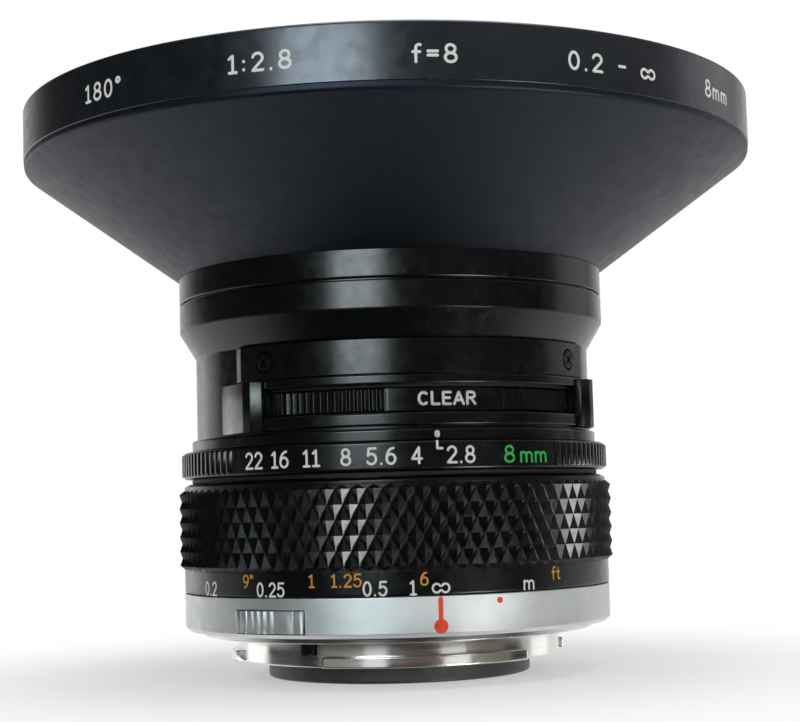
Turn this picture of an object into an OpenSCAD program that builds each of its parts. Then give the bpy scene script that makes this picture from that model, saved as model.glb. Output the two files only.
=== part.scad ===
// Circular fisheye lens for a 35 mm single-lens reflex camera, with a built-in filter wheel.
// Millimetres. +Z runs along the optical axis to the front glass, z = 0 is the register face
// of the camera mount, and the index line faces -Y. Angles are counted from -Y towards +X.

/* [Front] */
// Outside diameter of the front rim, which takes a push-on cap
rim_d = 102; // [94:0.5:112]
// Height of the front rim
rim_h = 7.9; // [7:0.1:10]
// Height of the flared cone between neck and rim
cone_h = 15.2; // [14:0.1:18]
// Wall of the flared cone, measured square to it
cone_wall = 2.0; // [1.4:0.1:2.6]
// Rounding of the corner between cone and rim
rim_round = 0.9; // [0.4:0.1:1.4]
// Height of the front glass above the rim
glass_bulge = 9.4; // [8.6:0.1:10.5]
// Width of the rim around the front glass
rim_wall = 3.75; // [3:0.05:4.5]

/* [Neck and filter housing] */
// How far the two neck rings stand out past the filter housing
neck_out = 2.2; // [1.4:0.05:3.4]
// Height of each of the two neck rings
neck_ring_h = 3.65; // [3.2:0.05:4.5]
// Groove between the neck rings
neck_groove = 0.2; // [0.1:0.05:0.5]
// Height of the taper from the neck to the filter housing
taper_h = 3.7; // [3:0.1:5]
// Diameter of the filter housing
housing_d = 55.2; // [54:0.1:56.4]
// Wall of the filter housing
housing_wall = 0.6; // [0.5:0.05:0.8]
// Half the angle of the window, between the index and one end
window_half = 46; // [38:1:50]
// Height of the window
window_h = 3.75; // [3.5:0.05:4]
// How far the two rails of the window frame stand out past the filter housing
rail_out = 0.75; // [0.6:0.05:1.4]
// How far the two finger lugs stand out past the filter housing
lug_out = 2.05; // [1.6:0.05:2.4]
// Angle of the top of a finger lug
lug_angle = 2.8; // [2:0.1:5]
// Angle of the outer slope of a finger lug
lug_slope = 12; // [8:0.5:16]
// Thickness of the cover plate
cover_t = 0.5; // [0.4:0.05:0.9]
// Height of the cover plate
cover_h = 4.5; // [4:0.1:5]
// Half the angle of the cover plate
cover_half = 57; // [52:1:62]
// Angle between the index and a cover screw
cover_screw_angle = 46.4; // [42:0.1:50]
// Diameter of a cover screw's head
cover_screw_d = 2.3; // [1.8:0.1:2.8]

/* [Filter wheel] */
// Height of the knurled filter ring
selector_h = 3.0; // [2.8:0.05:3.2]
// Wall of the filter ring outside its teeth
selector_wall = 1.63; // [1.4:0.05:1.9]
// Ridges of the knurl around the whole ring
knurl_count = 180; // [120:4:200]
// Depth of the knurl
knurl_depth = 0.35; // [0.2:0.05:0.45]
// Angle of one smooth label pad
label_angle = 34; // [28:1:38]
// Angle from the index to the middle of the label pad
label_turn = 4.5; // [0:0.5:8]
// Teeth inside the filter ring
ring_teeth = 48; // [48]
// Teeth of the filter wheel
wheel_teeth = 32; // [32]
// Play between the teeth, along the pitch circle
tooth_play = 0.16; // [0.12:0.02:0.24]
// Diameter of the axle of the filter wheel
axle_d = 3.0; // [2.4:0.1:3.4]
// Diameter of one filter glass
filter_d = 10.1; // [9.4:0.1:10.3]
// Thickness of one filter glass
filter_t = 1.1; // [0.8:0.05:1.2]
// Clear opening at each filter
filter_clear_d = 9.0; // [8.4:0.1:9.2]

/* [Index and aperture ring] */
// How far the index ring stands out past the filter housing
index_out = 0.7; // [0.4:0.05:1.4]
// Height of the index ring
index_h = 1.5; // [1.3:0.05:2]
// How far the two grips of the aperture ring stand out past the filter housing
aperture_out = 2.2; // [1.8:0.05:2.9]
// Height of the aperture ring
aperture_h = 3.75; // [3.7:0.05:4.6]
// Step from the number band up to the grips
aperture_step = 0.3; // [0.1:0.05:0.5]
// Angle of one grip of the aperture ring
grip_angle = 90; // [60:5:100]
// Ribs on one grip of the aperture ring
grip_ribs = 44; // [20:1:50]
// Angle of the number band between the two grips
number_band = 90; // [80:2:110]
// Angle from the index to the middle of the number band
number_turn = -10.5; // [-14:0.5:0]

/* [Iris] */
// Radius of the full opening
iris_open_r = 5.0; // [4.6:0.1:5.2]
// Width of one blade
blade_w = 3.1; // [2.8:0.1:3.3]
// Thickness of one blade
blade_t = 0.15; // [0.1:0.01:0.18]
// Height from one blade to the next
blade_pitch = 0.25; // [0.24:0.01:0.3]
// Angle that one blade covers
blade_angle = 122; // [110:1:126]
// Radius of the circle of pivot pins
pivot_r = 9.5; // [9.2:0.1:10]
// Diameter of pivot and drive pins
pin_d = 0.8; // [0.6:0.05:0.9]
// Angle from a pivot pin to its drive pin
drive_angle = 22; // [20:0.5:24]
// Turn of the aperture ring from open to smallest
aperture_turn = 47.6; // [40:0.1:48]
// Turn of one blade from open to smallest
blade_turn = 26; // [20:0.1:26]

/* [Focusing ring] */
// How far the rubber grip stands out past the filter housing
grip_out = 2.65; // [2.3:0.05:3.9]
// Height of the rubber grip
grip_h = 10.8; // [9:0.1:13]
// Rows of diamonds on the rubber grip
grip_rows = 5; // [3:1:6]
// Diamonds in one row, around the whole ring
grip_diamonds = 92; // [60:2:110]
// Height of the diamonds
grip_groove = 0.42; // [0.2:0.02:0.6]
// Plain edge above and below the diamonds
grip_edge = 0.55; // [0.3:0.05:0.8]
// How far the distance scale stands out past the filter housing
scale_out = 2.0; // [1.8:0.05:2.4]
// Height of the band with the distance scale
scale_h = 3.26; // [3:0.02:4]
// Height of the lip above the grip
lip_h = 0.8; // [0.5:0.1:1.2]
// Travel of the front from far to near
focus_lift = 0.65; // [0.4:0.05:0.9]

/* [Mount barrel] */
// How far the mount barrel stands out past the filter housing
barrel_out = 2.0; // [1.8:0.05:2.4]
// Height of the mount barrel
barrel_h = 5.04; // [4.9:0.02:6]
// Bevel on the lower edge of the mount barrel
barrel_bevel = 0.5; // [0.2:0.1:0.8]
// Width of the two push buttons
button_w = 10.6; // [9:0.1:11.5]
// Height of the two push buttons
button_h = 2.8; // [2.4:0.1:3]
// Height of a button's face above the barrel
button_proud = 0.45; // [0.2:0.05:0.8]
// Grooves between the ribs on a button's face
button_grooves = 6; // [3:1:7]
// Travel of a push button
button_travel = 1.0; // [0.6:0.1:1.1]
// Angle from the index to the lens release button
release_angle = -44.3; // [-60:0.1:-40]
// Angle from the index to the preview button
preview_angle = 135.7; // [120:0.1:150]

/* [Bayonet] */
// How far the edge of the flange plate lies inside the wall of the filter housing
flange_in = 0.6; // [0.2:0.05:1.2]
// Thickness of the bayonet plate
plate_t = 0.8; // [0.7:0.05:1]
// Diameter of the bayonet collar
collar_d = 44.6; // [44:0.1:45.2]
// Height of the bayonet collar behind the flange
collar_h = 3.4; // [3:0.1:4]
// Diameter over the bayonet tabs
tab_d = 46.6; // [46.2:0.1:47]
// Thickness of a bayonet tab
tab_t = 1.4; // [1.1:0.1:1.6]
// Angle of one bayonet tab
tab_angle = 72; // [50:1:74]
// Diameter of the rear baffle
baffle_d = 36.4; // [36:0.1:38]
// Height of the rear baffle behind the bayonet collar
baffle_h = 2.5; // [1.5:0.1:3.5]
// Diameter of a mount screw's head
mount_screw_d = 2.4; // [2:0.1:2.6]

/* [Clearances] */
// Gap of a running fit, on the radius
run_gap = 0.1; // [0.06:0.01:0.15]
// Gap of the plain sleeves that stand for the focusing thread, on the radius
thread_gap = 0.15; // [0.1:0.01:0.2]
// Gap of parts that are fixed to each other, on the radius
fit_gap = 0.05; // [0.02:0.01:0.08]
// Gap under and over rings that turn
side_gap = 0.12; // [0.08:0.01:0.18]

/* [Hidden] */
$fn = 120;
thin = 0.01;
far = 200;

// Radii
rim_r = rim_d / 2;
wall_r = housing_d / 2;
shell_r = wall_r - housing_wall;
neck_r = wall_r + neck_out;
rail_r = wall_r + rail_out;
lug_r = wall_r + lug_out;
cover_r = wall_r + cover_t;
index_r = wall_r + index_out;
aperture_r = wall_r + aperture_out;
barrel_r = wall_r + barrel_out;
scale_r = wall_r + scale_out;
grip_r = wall_r + grip_out;
core_r = shell_r - 0.4;
helix_r = core_r + 0.4;
focus_in = helix_r + thread_gap;
fixed_in = helix_r - 4.8;
fixed_r = helix_r - 3.4;
collar_r = collar_d / 2;
collar_in = collar_r - 1.8;
flange_r = wall_r - flange_in;
lever_w = 4.9;
lever_in = fixed_in - run_gap - lever_w;
relief_r = tab_d / 2 + 0.3;
floor_in = collar_in - 0.5;
rear_cell_r = 11.5;
key_half = 6;
key_room = 4;
cell_flange = 6;

// Heights, from the mount to the front
barrel_z0 = plate_t;
barrel_z1 = plate_t + barrel_h;
floor_z = plate_t + 0.5;
focus_z0 = barrel_z1 + side_gap;
grip_z0 = focus_z0 + scale_h - side_gap;
grip_z1 = grip_z0 + grip_h;
focus_z1 = grip_z1 + lip_h;
carrier_z0 = focus_z1 + 0.15;
carrier_z1 = carrier_z0 + 0.5;
ap_z0 = carrier_z1 + side_gap;
ap_z1 = ap_z0 + aperture_h - side_gap;
index_z0 = ap_z1 + side_gap;
index_z1 = index_z0 + index_h;
base_z1 = carrier_z1 + 0.75;
blade_z = base_z1 + 0.1;
blade_top = blade_z + 5 * blade_pitch + blade_t;
cam_z0 = blade_top + 0.12;
cam_z1 = cam_z0 + 0.65;
lid_z0 = cam_z1 + 0.15;
lid_z1 = lid_z0 + 0.4;
core_z1 = max(index_z0 + 0.6, lid_z1 + 0.2);
window_z0 = index_z1 + 1.95;
window_z1 = window_z0 + window_h;
selector_z0 = window_z0 + (window_h - selector_h) / 2 - 0.1;
selector_z1 = selector_z0 + selector_h;
bed_z1 = selector_z0 - side_gap;
top_z0 = selector_z1 + side_gap;
top_z1 = top_z0 + 1.2;
rail_h = 1.5;
upper_rail_h = 1.15;
cover_z0 = window_z1 + upper_rail_h + 0.1;
cover_z1 = cover_z0 + cover_h;
taper_z = cover_z1;
neck_z0 = taper_z + taper_h;
neck_z1 = neck_z0 + neck_ring_h;
neck_z2 = neck_z1 + neck_groove;
cone_z0 = neck_z2 + neck_ring_h;
rim_z0 = cone_z0 + cone_h;
rim_z1 = rim_z0 + rim_h;

// Filter gears: the wheel's axle stands toward the index, so one filter is on the optical axis
selector_r = shell_r - 0.12;
gear_m = (selector_r - selector_wall) / (ring_teeth / 2 + 1.25);
wheel_off = gear_m * (ring_teeth - wheel_teeth) / 2;
press_angle = 20;
wheel_z0 = selector_z0 + 0.15;
wheel_z1 = selector_z1 - 0.15;
axle_r = axle_d / 2;
filter_r = filter_d / 2;
seat_r = filter_r + fit_gap;
clear_r = filter_clear_d / 2;
seat_z = wheel_z1 - filter_t - 0.7;

// Iris
blade_in = iris_open_r - 0.05;
blade_out = blade_in + blade_w;
blade_count = 6;
pin_r = pin_d / 2;
ear_r = pivot_r + 0.9;
cam_in = iris_open_r + 0.4;
cam_out = pivot_r + 2;
arm_w = 3;
arm_a = 120;
slot_steps = 14;

// Front glass: radii of curvature follow the diameter of the rim
rim_in = rim_r - rim_wall;
g1_r = rim_in - fit_gap;
g1_step_r = g1_r - 1.7;
g1_seat_z = rim_z1 - 5.6;
g1_step_z = rim_z1 - 2.1;
g1_apex = rim_z1 + glass_bulge;
g1_sag = glass_bulge - 0.4;
g1_front_c = (g1_step_r * g1_step_r + g1_sag * g1_sag) / (2 * g1_sag);
g1_back_c = 0.667 * rim_r;
g1_t = 4.5;
g1_back = g1_apex - g1_t;
g1_hollow_r = 0.57 * rim_r;
g1_seat_r = g1_r - 4.2;
g1_rim_z = g1_back - sag(g1_hollow_r, g1_back_c);
g2_r = 22;
g2_air = 9.5;
g2_t = 2.7;
g2_front = g1_back - g2_air;
g2_front_c = 2.73 * g2_r;
g2_back = g2_front - g2_t;
g2_hollow_r = 0.75 * g2_r;
g2_back_c = 1.15 * g2_hollow_r;
g2_seat = g2_back - sag(g2_hollow_r, g2_back_c);
g3_r = 15.5;
g3_air = 1.7;
g3_t = 2;
g3_front = g2_seat - g3_air;
g3_front_c = 5.16 * g3_r;
g34 = g3_front - g3_t;
g34_c = 1.16 * g3_r;
g4_t = 0.84 * g3_r;
g4_back = g34 - g4_t;
g4_back_c = 2.58 * g3_r;
g4_edge = g4_back + sag(g3_r, g4_back_c);
g34_edge = g34 - sag(g3_r, g34_c);
cell_shelf = g4_back + sag(g3_r - 1.5, g4_back_c) - 0.03;
cell_top = g2_front - sag(g2_r - 2.5, g2_front_c) + 0.85;

// Rear glass, counted down from the carrier
g5_r = 8;
g5_air = 0.65;
g5_t = 0.475 * g5_r;
g6_t = 0.25 * g5_r;
g5_front = carrier_z0 - g5_air;
g5_front_c = 5 * g5_r;
g56 = g5_front - g5_t;
g56_c = 1.875 * g5_r;
g6_back = g56 - g6_t;
g6_back_c = 7.5 * g5_r;
g7_r = 8.5;
g7_air = 1;
g7_t = 0.118 * g7_r;
g8_t = 0.588 * g7_r;
g7_front = g6_back - g7_air;
g7_front_c = 3.53 * g7_r;
g78 = g7_front - g7_t;
g78_c = 1.65 * g7_r;
g8_back = g78 - g8_t;
g8_back_c = 2.94 * g7_r;
g9_r = 9;
g9_air = 0.3;
g9_t = 0.522 * g9_r;
g10_t = 0.133 * g9_r;
g11_t = 0.444 * g9_r;
g9_front = g8_back - g9_air;
g9_front_c = 3.33 * g9_r;
g910 = g9_front - g9_t;
g910_c = 1.78 * g9_r;
g10_back = g910 - g10_t;
g10_back_c = 6.67 * g9_r;
g11_front = g10_back - g9_air;
g11_front_c = 3.89 * g9_r;
g11_back = g11_front - g11_t;
g11_back_c = 5.56 * g9_r;
rear_ring_z = g11_back + sag(g9_r - 1.2, g11_back_c) - 0.05;
rear_cell_z0 = rear_ring_z - 0.95;

// Buttons, measured outwards from the axis along their own direction
button_face = barrel_r + button_proud;
shoe_in = fixed_r + button_travel + 0.5;
shoe_out = shoe_in + 0.8;
shoe_half = button_w / 2 + 1.2;
window_gap = 0.15;
button_z = barrel_z0 + 0.5 + window_gap;
catch_w = 2;
catch_a = release_angle + 2.3;
catch_out = collar_r + 0.5;
catch_in = collar_r - 0.8;
slot_gap = 0.2;
screw_ring = (fixed_r + shoe_out) / 2 + 0.3;
screw_angles = [20, 80, 200, 260];

function sag(r, c) = c - sqrt(c * c - r * r);
function dir(a) = [sin(a), -cos(a)];
function spin(p, a) = [p[0] * cos(a) - p[1] * sin(a), p[0] * sin(a) + p[1] * cos(a)];
function unit(v) = v / norm(v);
function involute(r, rb) = r > rb ? sqrt(r * r / (rb * rb) - 1) * 180 / PI - acos(rb / r) : 0;

// One gear outline with a tooth on -Y: n teeth, tip and root heights in modules, tooth widened by w
function gear_half(n, r, w) =
    let (rp = gear_m * n / 2, rb = rp * cos(press_angle))
    90 / n + w / 2 / rp * 180 / PI + involute(rp, rb) - involute(r, rb);
function gear_tooth(n, tip, root, w, a) =
    let (rp = gear_m * n / 2, r0 = rp - root * gear_m, r3 = rp + tip * gear_m,
        radii = [r0, rp - 0.4 * gear_m, rp + 0.15 * gear_m, r3])
    concat([for (i = [0 : 3]) radii[i] * dir(a - gear_half(n, radii[i], w))],
        [for (i = [3 : -1 : 0]) radii[i] * dir(a + gear_half(n, radii[i], w))]);
function gear_outline(n, tip, root, w) =
    [for (i = [0 : n - 1]) each gear_tooth(n, tip, root, w, i * 360 / n)];

// Path of a drive pin, seen from the cam ring, while the aperture ring turns from open to smallest
function pivot_at(k) = pivot_r * dir(k * 360 / blade_count);
function drive_at(k) = pivot_r * dir(k * 360 / blade_count + drive_angle);
function drive_path(k, t) =
    spin(pivot_at(k) + spin(drive_at(k) - pivot_at(k), blade_turn * t), -aperture_turn * t);
function path_dir(k, t) = unit(drive_path(k, t + 0.01) - drive_path(k, t - 0.01));
function slot_outline(k, w) = concat(
    [for (i = [0 : slot_steps]) let (t = i / slot_steps) drive_path(k, t) + w * spin(path_dir(k, t), -90)],
    [for (i = [1 : 5]) drive_path(k, 1) + w * spin(path_dir(k, 1), -90 + 30 * i)],
    [for (i = [slot_steps : -1 : 0]) let (t = i / slot_steps) drive_path(k, t) + w * spin(path_dir(k, t), 90)],
    [for (i = [1 : 5]) drive_path(k, 0) + w * spin(path_dir(k, 0), 90 + 30 * i)]);

module turn(points) {
    rotate_extrude() polygon(points);
}

module ring(ro, ri, z0, z1) {
    turn([[ri, z0], [ro, z0], [ro, z1], [ri, z1]]);
}

module disc(r, z0, z1) {
    translate([0, 0, z0]) cylinder(r = r, h = z1 - z0);
}

module wedge(a0, a1) {
    polygon(concat([[0, 0]], [for (i = [0 : 8]) far * dir(a0 + (a1 - a0) * i / 8)]));
}

module arc_ring(ro, ri, a0, a1, z0, z1) {
    translate([0, 0, z0]) linear_extrude(z1 - z0) intersection() {
        difference() {
            circle(ro);
            circle(ri);
        }
        wedge(a0, a1);
    }
}

// A block in the direction a, from radius r0 to r1, w wide
module block(a, r0, r1, w, z0, z1) {
    rotate([0, 0, a]) translate([-w / 2, -r1, z0]) cube([w, r1 - r0, z1 - z0]);
}

// A glass: radius, edge from z0 to z1, apex and curvature in front and behind (positive is convex)
module glass(r, z0, z1, front, front_c, back, back_c) {
    difference() {
        intersection() {
            disc(r, z0, z1);
            if (front_c > 0) translate([0, 0, front - front_c]) sphere(front_c);
            if (back_c > 0) translate([0, 0, back + back_c]) sphere(back_c);
        }
        if (front_c < 0) translate([0, 0, front - front_c]) sphere(-front_c);
        if (back_c < 0) translate([0, 0, back + back_c]) sphere(-back_c);
    }
}

// Fixed parts behind the focusing ring

module mount_barrel() color("silver") difference() {
    union() {
        turn([[floor_in, barrel_z0], [barrel_r - barrel_bevel, barrel_z0],
            [barrel_r, barrel_z0 + barrel_bevel], [barrel_r, barrel_z1], [helix_r - 0.1, barrel_z1],
            [helix_r - 0.1, floor_z], [floor_in, floor_z]]);
        for (a = screw_angles) rotate([0, 0, a]) translate([0, -screw_ring, barrel_z0])
            cylinder(r = 1.25, h = 2.6);
    }
    for (a = [release_angle, preview_angle]) block(a, shoe_in, far, button_w + 2 * window_gap,
        button_z - window_gap, button_z + button_h + window_gap);
    block(catch_a, floor_in - 1, shoe_out + slot_gap, catch_w + 2 * slot_gap, 0, floor_z + thin);
    for (a = screw_angles) rotate([0, 0, a]) translate([0, -screw_ring, 0])
        cylinder(r = 0.7 + fit_gap, h = plate_t + 2);
}

module bayonet_plate() color("gainsboro") difference() {
    union() {
        turn([[collar_in, -collar_h], [collar_r, -collar_h], [collar_r, plate_t * 0.4],
            [relief_r, plate_t * 0.4], [relief_r, 0], [flange_r, 0], [flange_r, plate_t],
            [collar_in, plate_t]]);
        for (a = [0, 120, 240]) arc_ring(tab_d / 2, collar_r - 0.3, a - tab_angle / 2,
            a + tab_angle / 2, -collar_h, -collar_h + tab_t);
    }
    block(catch_a, collar_in - 1, shoe_out + slot_gap, catch_w + 2 * slot_gap, -1.9, plate_t + thin);
    for (a = screw_angles) rotate([0, 0, a]) translate([0, -screw_ring, 0]) {
        translate([0, 0, -thin]) cylinder(r = mount_screw_d / 2 + fit_gap, h = 0.5 + thin);
        cylinder(r = 0.7 + fit_gap, h = 2);
    }
}

module mount_screws() color("dimgray") for (a = screw_angles)
    rotate([0, 0, a]) translate([0, -screw_ring, 0]) difference() {
        union() {
            translate([0, 0, 0.05]) cylinder(r = mount_screw_d / 2, h = 0.45);
            translate([0, 0, 0.4]) cylinder(r = 0.7, h = plate_t + 1.5);
        }
        for (q = [0, 90]) rotate([0, 0, q]) translate([-0.75, -0.15, 0]) cube([1.5, 0.3, 0.35]);
    }

module rear_baffle() color("black") {
    rb = baffle_d / 2;
    turn([[rb - 1.2, -collar_h - baffle_h], [rb, -collar_h - baffle_h], [rb, -collar_h + 0.2],
        [collar_in - fit_gap, -collar_h + 0.2], [collar_in - fit_gap, -2.1], [rb - 1.2, -2.1]]);
}

module fixed_tube() color("gray") ring(fixed_r, fixed_in, floor_z, focus_z1 - 1.8);

module focus_key() color("goldenrod")
    arc_ring(helix_r - 0.6, fixed_r, 181 - key_half, 179 + key_half, grip_z0 - 0.6, grip_z0 + key_room - 0.6);

// A bowed strip between the fixed tube and the shoe of a button, drawn at rest
module button_spring(a) {
    reach = shoe_in - fixed_r - 0.12;
    bow = [for (i = [-8 : 8]) [0.55 * i, -fixed_r - 0.12 - reach * (1 + cos(22.5 * i)) / 2 * 0.98]];
    rotate([0, 0, a]) translate([0, 0, button_z + 0.3]) linear_extrude(button_h - 0.8)
        polygon(concat(bow, [for (i = [16 : -1 : 0]) bow[i] + [0, 0.12]]));
}

module release_spring() color("lightgray") button_spring(release_angle);

module preview_spring() color("lightgray") button_spring(preview_angle);

// Focusing ring

module focus_ring() color("#151515") turn([[focus_in, focus_z0], [scale_r - 0.2, focus_z0],
    [scale_r, focus_z0 + 0.2], [scale_r, grip_z0], [grip_r - 1.3, grip_z0], [grip_r - 1.3, grip_z1],
    [scale_r - 0.1, grip_z1], [scale_r - 0.1, focus_z1 - 0.35], [scale_r - 0.6, focus_z1],
    [focus_in, focus_z1]]);

// Rubber ring covered with diamonds: a closed net of rings, with every second point raised
module focus_grip() color("#101010") {
    cols = 2 * grip_diamonds;
    last = grip_rows + 4;
    row = (grip_h - 2 * grip_edge) / grip_rows;
    inner = (grip_r - 1.3) / cos(180 / cols);
    low = grip_r - grip_groove;
    heights = concat([grip_z0, grip_z0], [for (i = [0 : grip_rows]) grip_z0 + grip_edge + i * row],
        [grip_z1, grip_z1]);
    net = [for (i = [0 : last], c = [0 : cols - 1])
        let (r = i == 0 || i == last ? inner : i == 1 || i == last - 1 || (i + c) % 2 == 1 ? low : grip_r)
        [r * sin(c * 360 / cols), -r * cos(c * 360 / cols), heights[i]]];
    faces = [for (i = [0 : last], c = [0 : cols - 1])
        let (d = (c + 1) % cols, k = (i + 1) % (last + 1), p = i * cols + c, q = i * cols + d,
            s = k * cols + d, t = k * cols + c)
        each (i + c) % 2 == 0 ? [[p, t, q], [q, t, s]] : [[p, t, s], [p, s, q]]];
    polyhedron(net, faces);
}

// Front unit: carrier, iris housing and filter housing

module front_carrier() color("#202020") difference() {
    turn([[iris_open_r + 1.5, carrier_z0], [wall_r + 0.8, carrier_z0], [wall_r + 0.8, carrier_z1],
        [core_r, carrier_z1], [core_r, core_z1], [core_r - 1.6, core_z1], [core_r - 1.6, carrier_z1],
        [iris_open_r + 1.5, carrier_z1]]);
    arc_ring(core_r + 1, core_r - 3, arm_a - 6, arm_a + aperture_turn + 6, cam_z0 - 0.2, cam_z1 + 0.2);
}

module helicoid_tube() color("goldenrod") difference() {
    ring(helix_r, fixed_r + 0.2, barrel_z1 + 1.16, carrier_z0);
    arc_ring(far, 1, 180 - key_half, 180 + key_half, 0, grip_z0 + key_room + 2 * focus_lift);
}

module rear_cell() color("#202020") turn([[g5_r - 1, carrier_z0],
    [g9_r + cell_flange, carrier_z0], [g9_r + cell_flange, carrier_z0 - 1.25],
    [rear_cell_r, carrier_z0 - 1.25], [rear_cell_r, rear_cell_z0],
    [g9_r + fit_gap, rear_cell_z0], [g9_r + fit_gap, g8_back + 1.4], [g7_r + fit_gap, g8_back + 1.4],
    [g7_r + fit_gap, g7_front + 1.4], [g5_r + fit_gap, g7_front + 1.4],
    [g5_r + fit_gap, carrier_z0 - 1.25], [g5_r - 1, carrier_z0 - 1.25]]);

module iris_base() color("#303030") difference() {
    ring(core_r - 1.6 - fit_gap, iris_open_r, carrier_z1, base_z1);
    for (k = [0 : blade_count - 1]) translate([pivot_at(k)[0], pivot_at(k)[1], carrier_z1 - 1])
        cylinder(r = pin_r + fit_gap, h = 3, $fn = 32);
}

module iris_lid() color("#303030") ring(core_r - 1.6 - fit_gap, iris_open_r + 0.2, lid_z0, lid_z1);

module index_ring() color("#151515") turn([[core_r + fit_gap, index_z0], [index_r, index_z0],
    [index_r, index_z1 - 0.2], [index_r - 0.2, index_z1], [core_r + fit_gap, index_z1]]);

module turret_plate() color("#303030") difference() {
    turn([[iris_open_r + 1, core_z1], [core_r, core_z1], [core_r, index_z1], [shell_r - fit_gap, index_z1],
        [shell_r - fit_gap, bed_z1], [iris_open_r + 1, bed_z1]]);
    translate([0, -wheel_off, core_z1 - 1]) cylinder(r = axle_r + fit_gap / 2, h = far, $fn = 48);
}

module turret_lid() color("#303030") difference() {
    ring(shell_r - fit_gap, iris_open_r + 1.5, top_z0, top_z1);
    translate([0, -wheel_off, top_z0 - 1]) cylinder(r = axle_r + fit_gap / 2, h = far, $fn = 48);
}

module turret_axle() color("lightgray") translate([0, -wheel_off, core_z1 + 0.4])
    cylinder(r = axle_r, h = top_z1 - core_z1 - 0.6, $fn = 48);

module turret_housing() color("#1a1a1a") difference() {
    turn([[shell_r, index_z1], [wall_r, index_z1], [wall_r, taper_z], [neck_r, neck_z0],
        [shell_r, neck_z0]]);
    arc_ring(wall_r + 1, shell_r - 1, -window_half, window_half, window_z0, window_z1);
    for (s = [-1, 1]) screw_bore(s, 0.6 + fit_gap);
}

// Hole of a cover screw, from the outside of the cover into the front cell
module screw_bore(s, r) {
    rotate([0, 0, s * cover_screw_angle]) translate([0, -cover_r - 1, (cover_z0 + cover_z1) / 2])
        rotate([-90, 0, 0]) cylinder(r = r, h = 4, $fn = 32);
}

module window_frame() color("#151515") difference() {
    union() {
        arc_ring(rail_r, wall_r - 1, -window_half - 2, window_half + 2, window_z0 - rail_h, window_z0);
        arc_ring(rail_r, wall_r - 1, -window_half - 2, window_half + 2, window_z1,
            window_z1 + upper_rail_h);
        for (s = [-1, 1]) translate([0, 0, window_z0 - rail_h - 0.2])
            linear_extrude(window_h + rail_h + upper_rail_h) polygon([
                (wall_r - 1) * dir(s * window_half), (wall_r + 0.9) * dir(s * (window_half + 0.3)),
                lug_r * dir(s * (window_half + 2.5)),
                lug_r * dir(s * (window_half + 2.5 + lug_angle)),
                (wall_r + 0.05) * dir(s * (window_half + 2.5 + lug_angle + lug_slope)),
                (wall_r - 1) * dir(s * (window_half + 2.5 + lug_angle + lug_slope))]);
    }
    disc(wall_r + thin, 0, far);
}

module turret_cover() color("#181818") difference() {
    arc_ring(cover_r, wall_r, -cover_half, cover_half, cover_z0, cover_z1);
    for (s = [-1, 1]) screw_bore(s, cover_screw_d / 2 + fit_gap);
}

module cover_screws() color("#555555") for (s = [-1, 1])
    rotate([0, 0, s * cover_screw_angle]) translate([0, -cover_r, (cover_z0 + cover_z1) / 2])
        rotate([-90, 0, 0]) difference() {
            union() {
                cylinder(r = cover_screw_d / 2, h = cover_r - wall_r - thin, $fn = 48);
                cylinder(r = 0.6, h = 2.2, $fn = 32);
            }
            for (q = [45, 135]) rotate([0, 0, q]) translate([-0.75, -0.14, -thin]) cube([1.5, 0.28, 0.25]);
        }

module neck_lower() color("#181818") turn([[helix_r + 0.35, neck_z0], [neck_r, neck_z0],
    [neck_r, neck_z1 - 0.15], [neck_r - 0.15, neck_z1], [helix_r + 0.35, neck_z1]]);

module neck_upper() color("#181818") turn([[helix_r + 0.35, neck_z1], [neck_r - 0.5, neck_z1],
    [neck_r - 0.5, neck_z2], [neck_r - 0.15, neck_z2], [neck_r, neck_z2 + 0.15], [neck_r, cone_z0],
    [helix_r + 0.35, cone_z0]]);

module front_cell() color("#202020") difference() {
    turn([[g3_r + 4.5, top_z1], [shell_r - fit_gap, top_z1], [shell_r - fit_gap, neck_z0],
        [helix_r + 0.3, neck_z0], [helix_r + 0.3, cone_z0 + 0.4], [g2_r + 2.2, cone_z0 + 0.4],
        [g2_r + 2.2, cell_top], [g2_r + fit_gap, cell_top], [g2_r + fit_gap, g2_seat],
        [g3_r + fit_gap, g2_seat], [g3_r + fit_gap, cell_shelf], [g3_r - 1.5, cell_shelf],
        [g3_r - 1.5, cell_shelf - 1.5], [g3_r + 4.5, cell_shelf - 1.5]]);
    for (s = [-1, 1]) screw_bore(s, 0.6 + fit_gap);
}

module front_cone() color("#111111") {
    run = rim_r - neck_r;
    slope = atan(cone_h / run);
    drop = cone_wall / cos(slope);
    in_r = helix_r + 0.35;
    shelf_r = g1_seat_r + 0.2;
    corner = rim_round * tan((90 - slope) / 2);
    mid = [rim_r - rim_round, rim_z0 + corner];
    turn(concat([[in_r, cone_z0], [neck_r, cone_z0]],
        [for (i = [0 : 5]) mid + rim_round * [cos(slope - 90 + i * (90 - slope) / 5),
            sin(slope - 90 + i * (90 - slope) / 5)]],
        [[rim_r, rim_z1 - 0.3], [rim_r - 0.3, rim_z1], [rim_in, rim_z1], [rim_in, g1_seat_z],
        [shelf_r, g1_seat_z], [shelf_r, cone_z0 + drop + (shelf_r - neck_r) * cone_h / run],
        [in_r, cone_z0 + drop + (in_r - neck_r) * cone_h / run]]));
}

module front_retainer() color("#181818") turn([[g1_step_r + fit_gap, g1_step_z], [g1_r, g1_step_z],
    [g1_r, rim_z1], [g1_step_r + 0.6, rim_z1], [g1_step_r + fit_gap, rim_z1 - 0.5]]);

// Two threaded rings: one over the second glass, one over the third
module cell_retainers() color("#181818") {
    z = g3_front - sag(g3_r - 2, g3_front_c) + 0.04;
    ring(g2_r, g2_r - 2.5, cell_top - 0.8, cell_top);
    ring(g3_r, g3_r - 2, z, z + 1.5);
}

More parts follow.
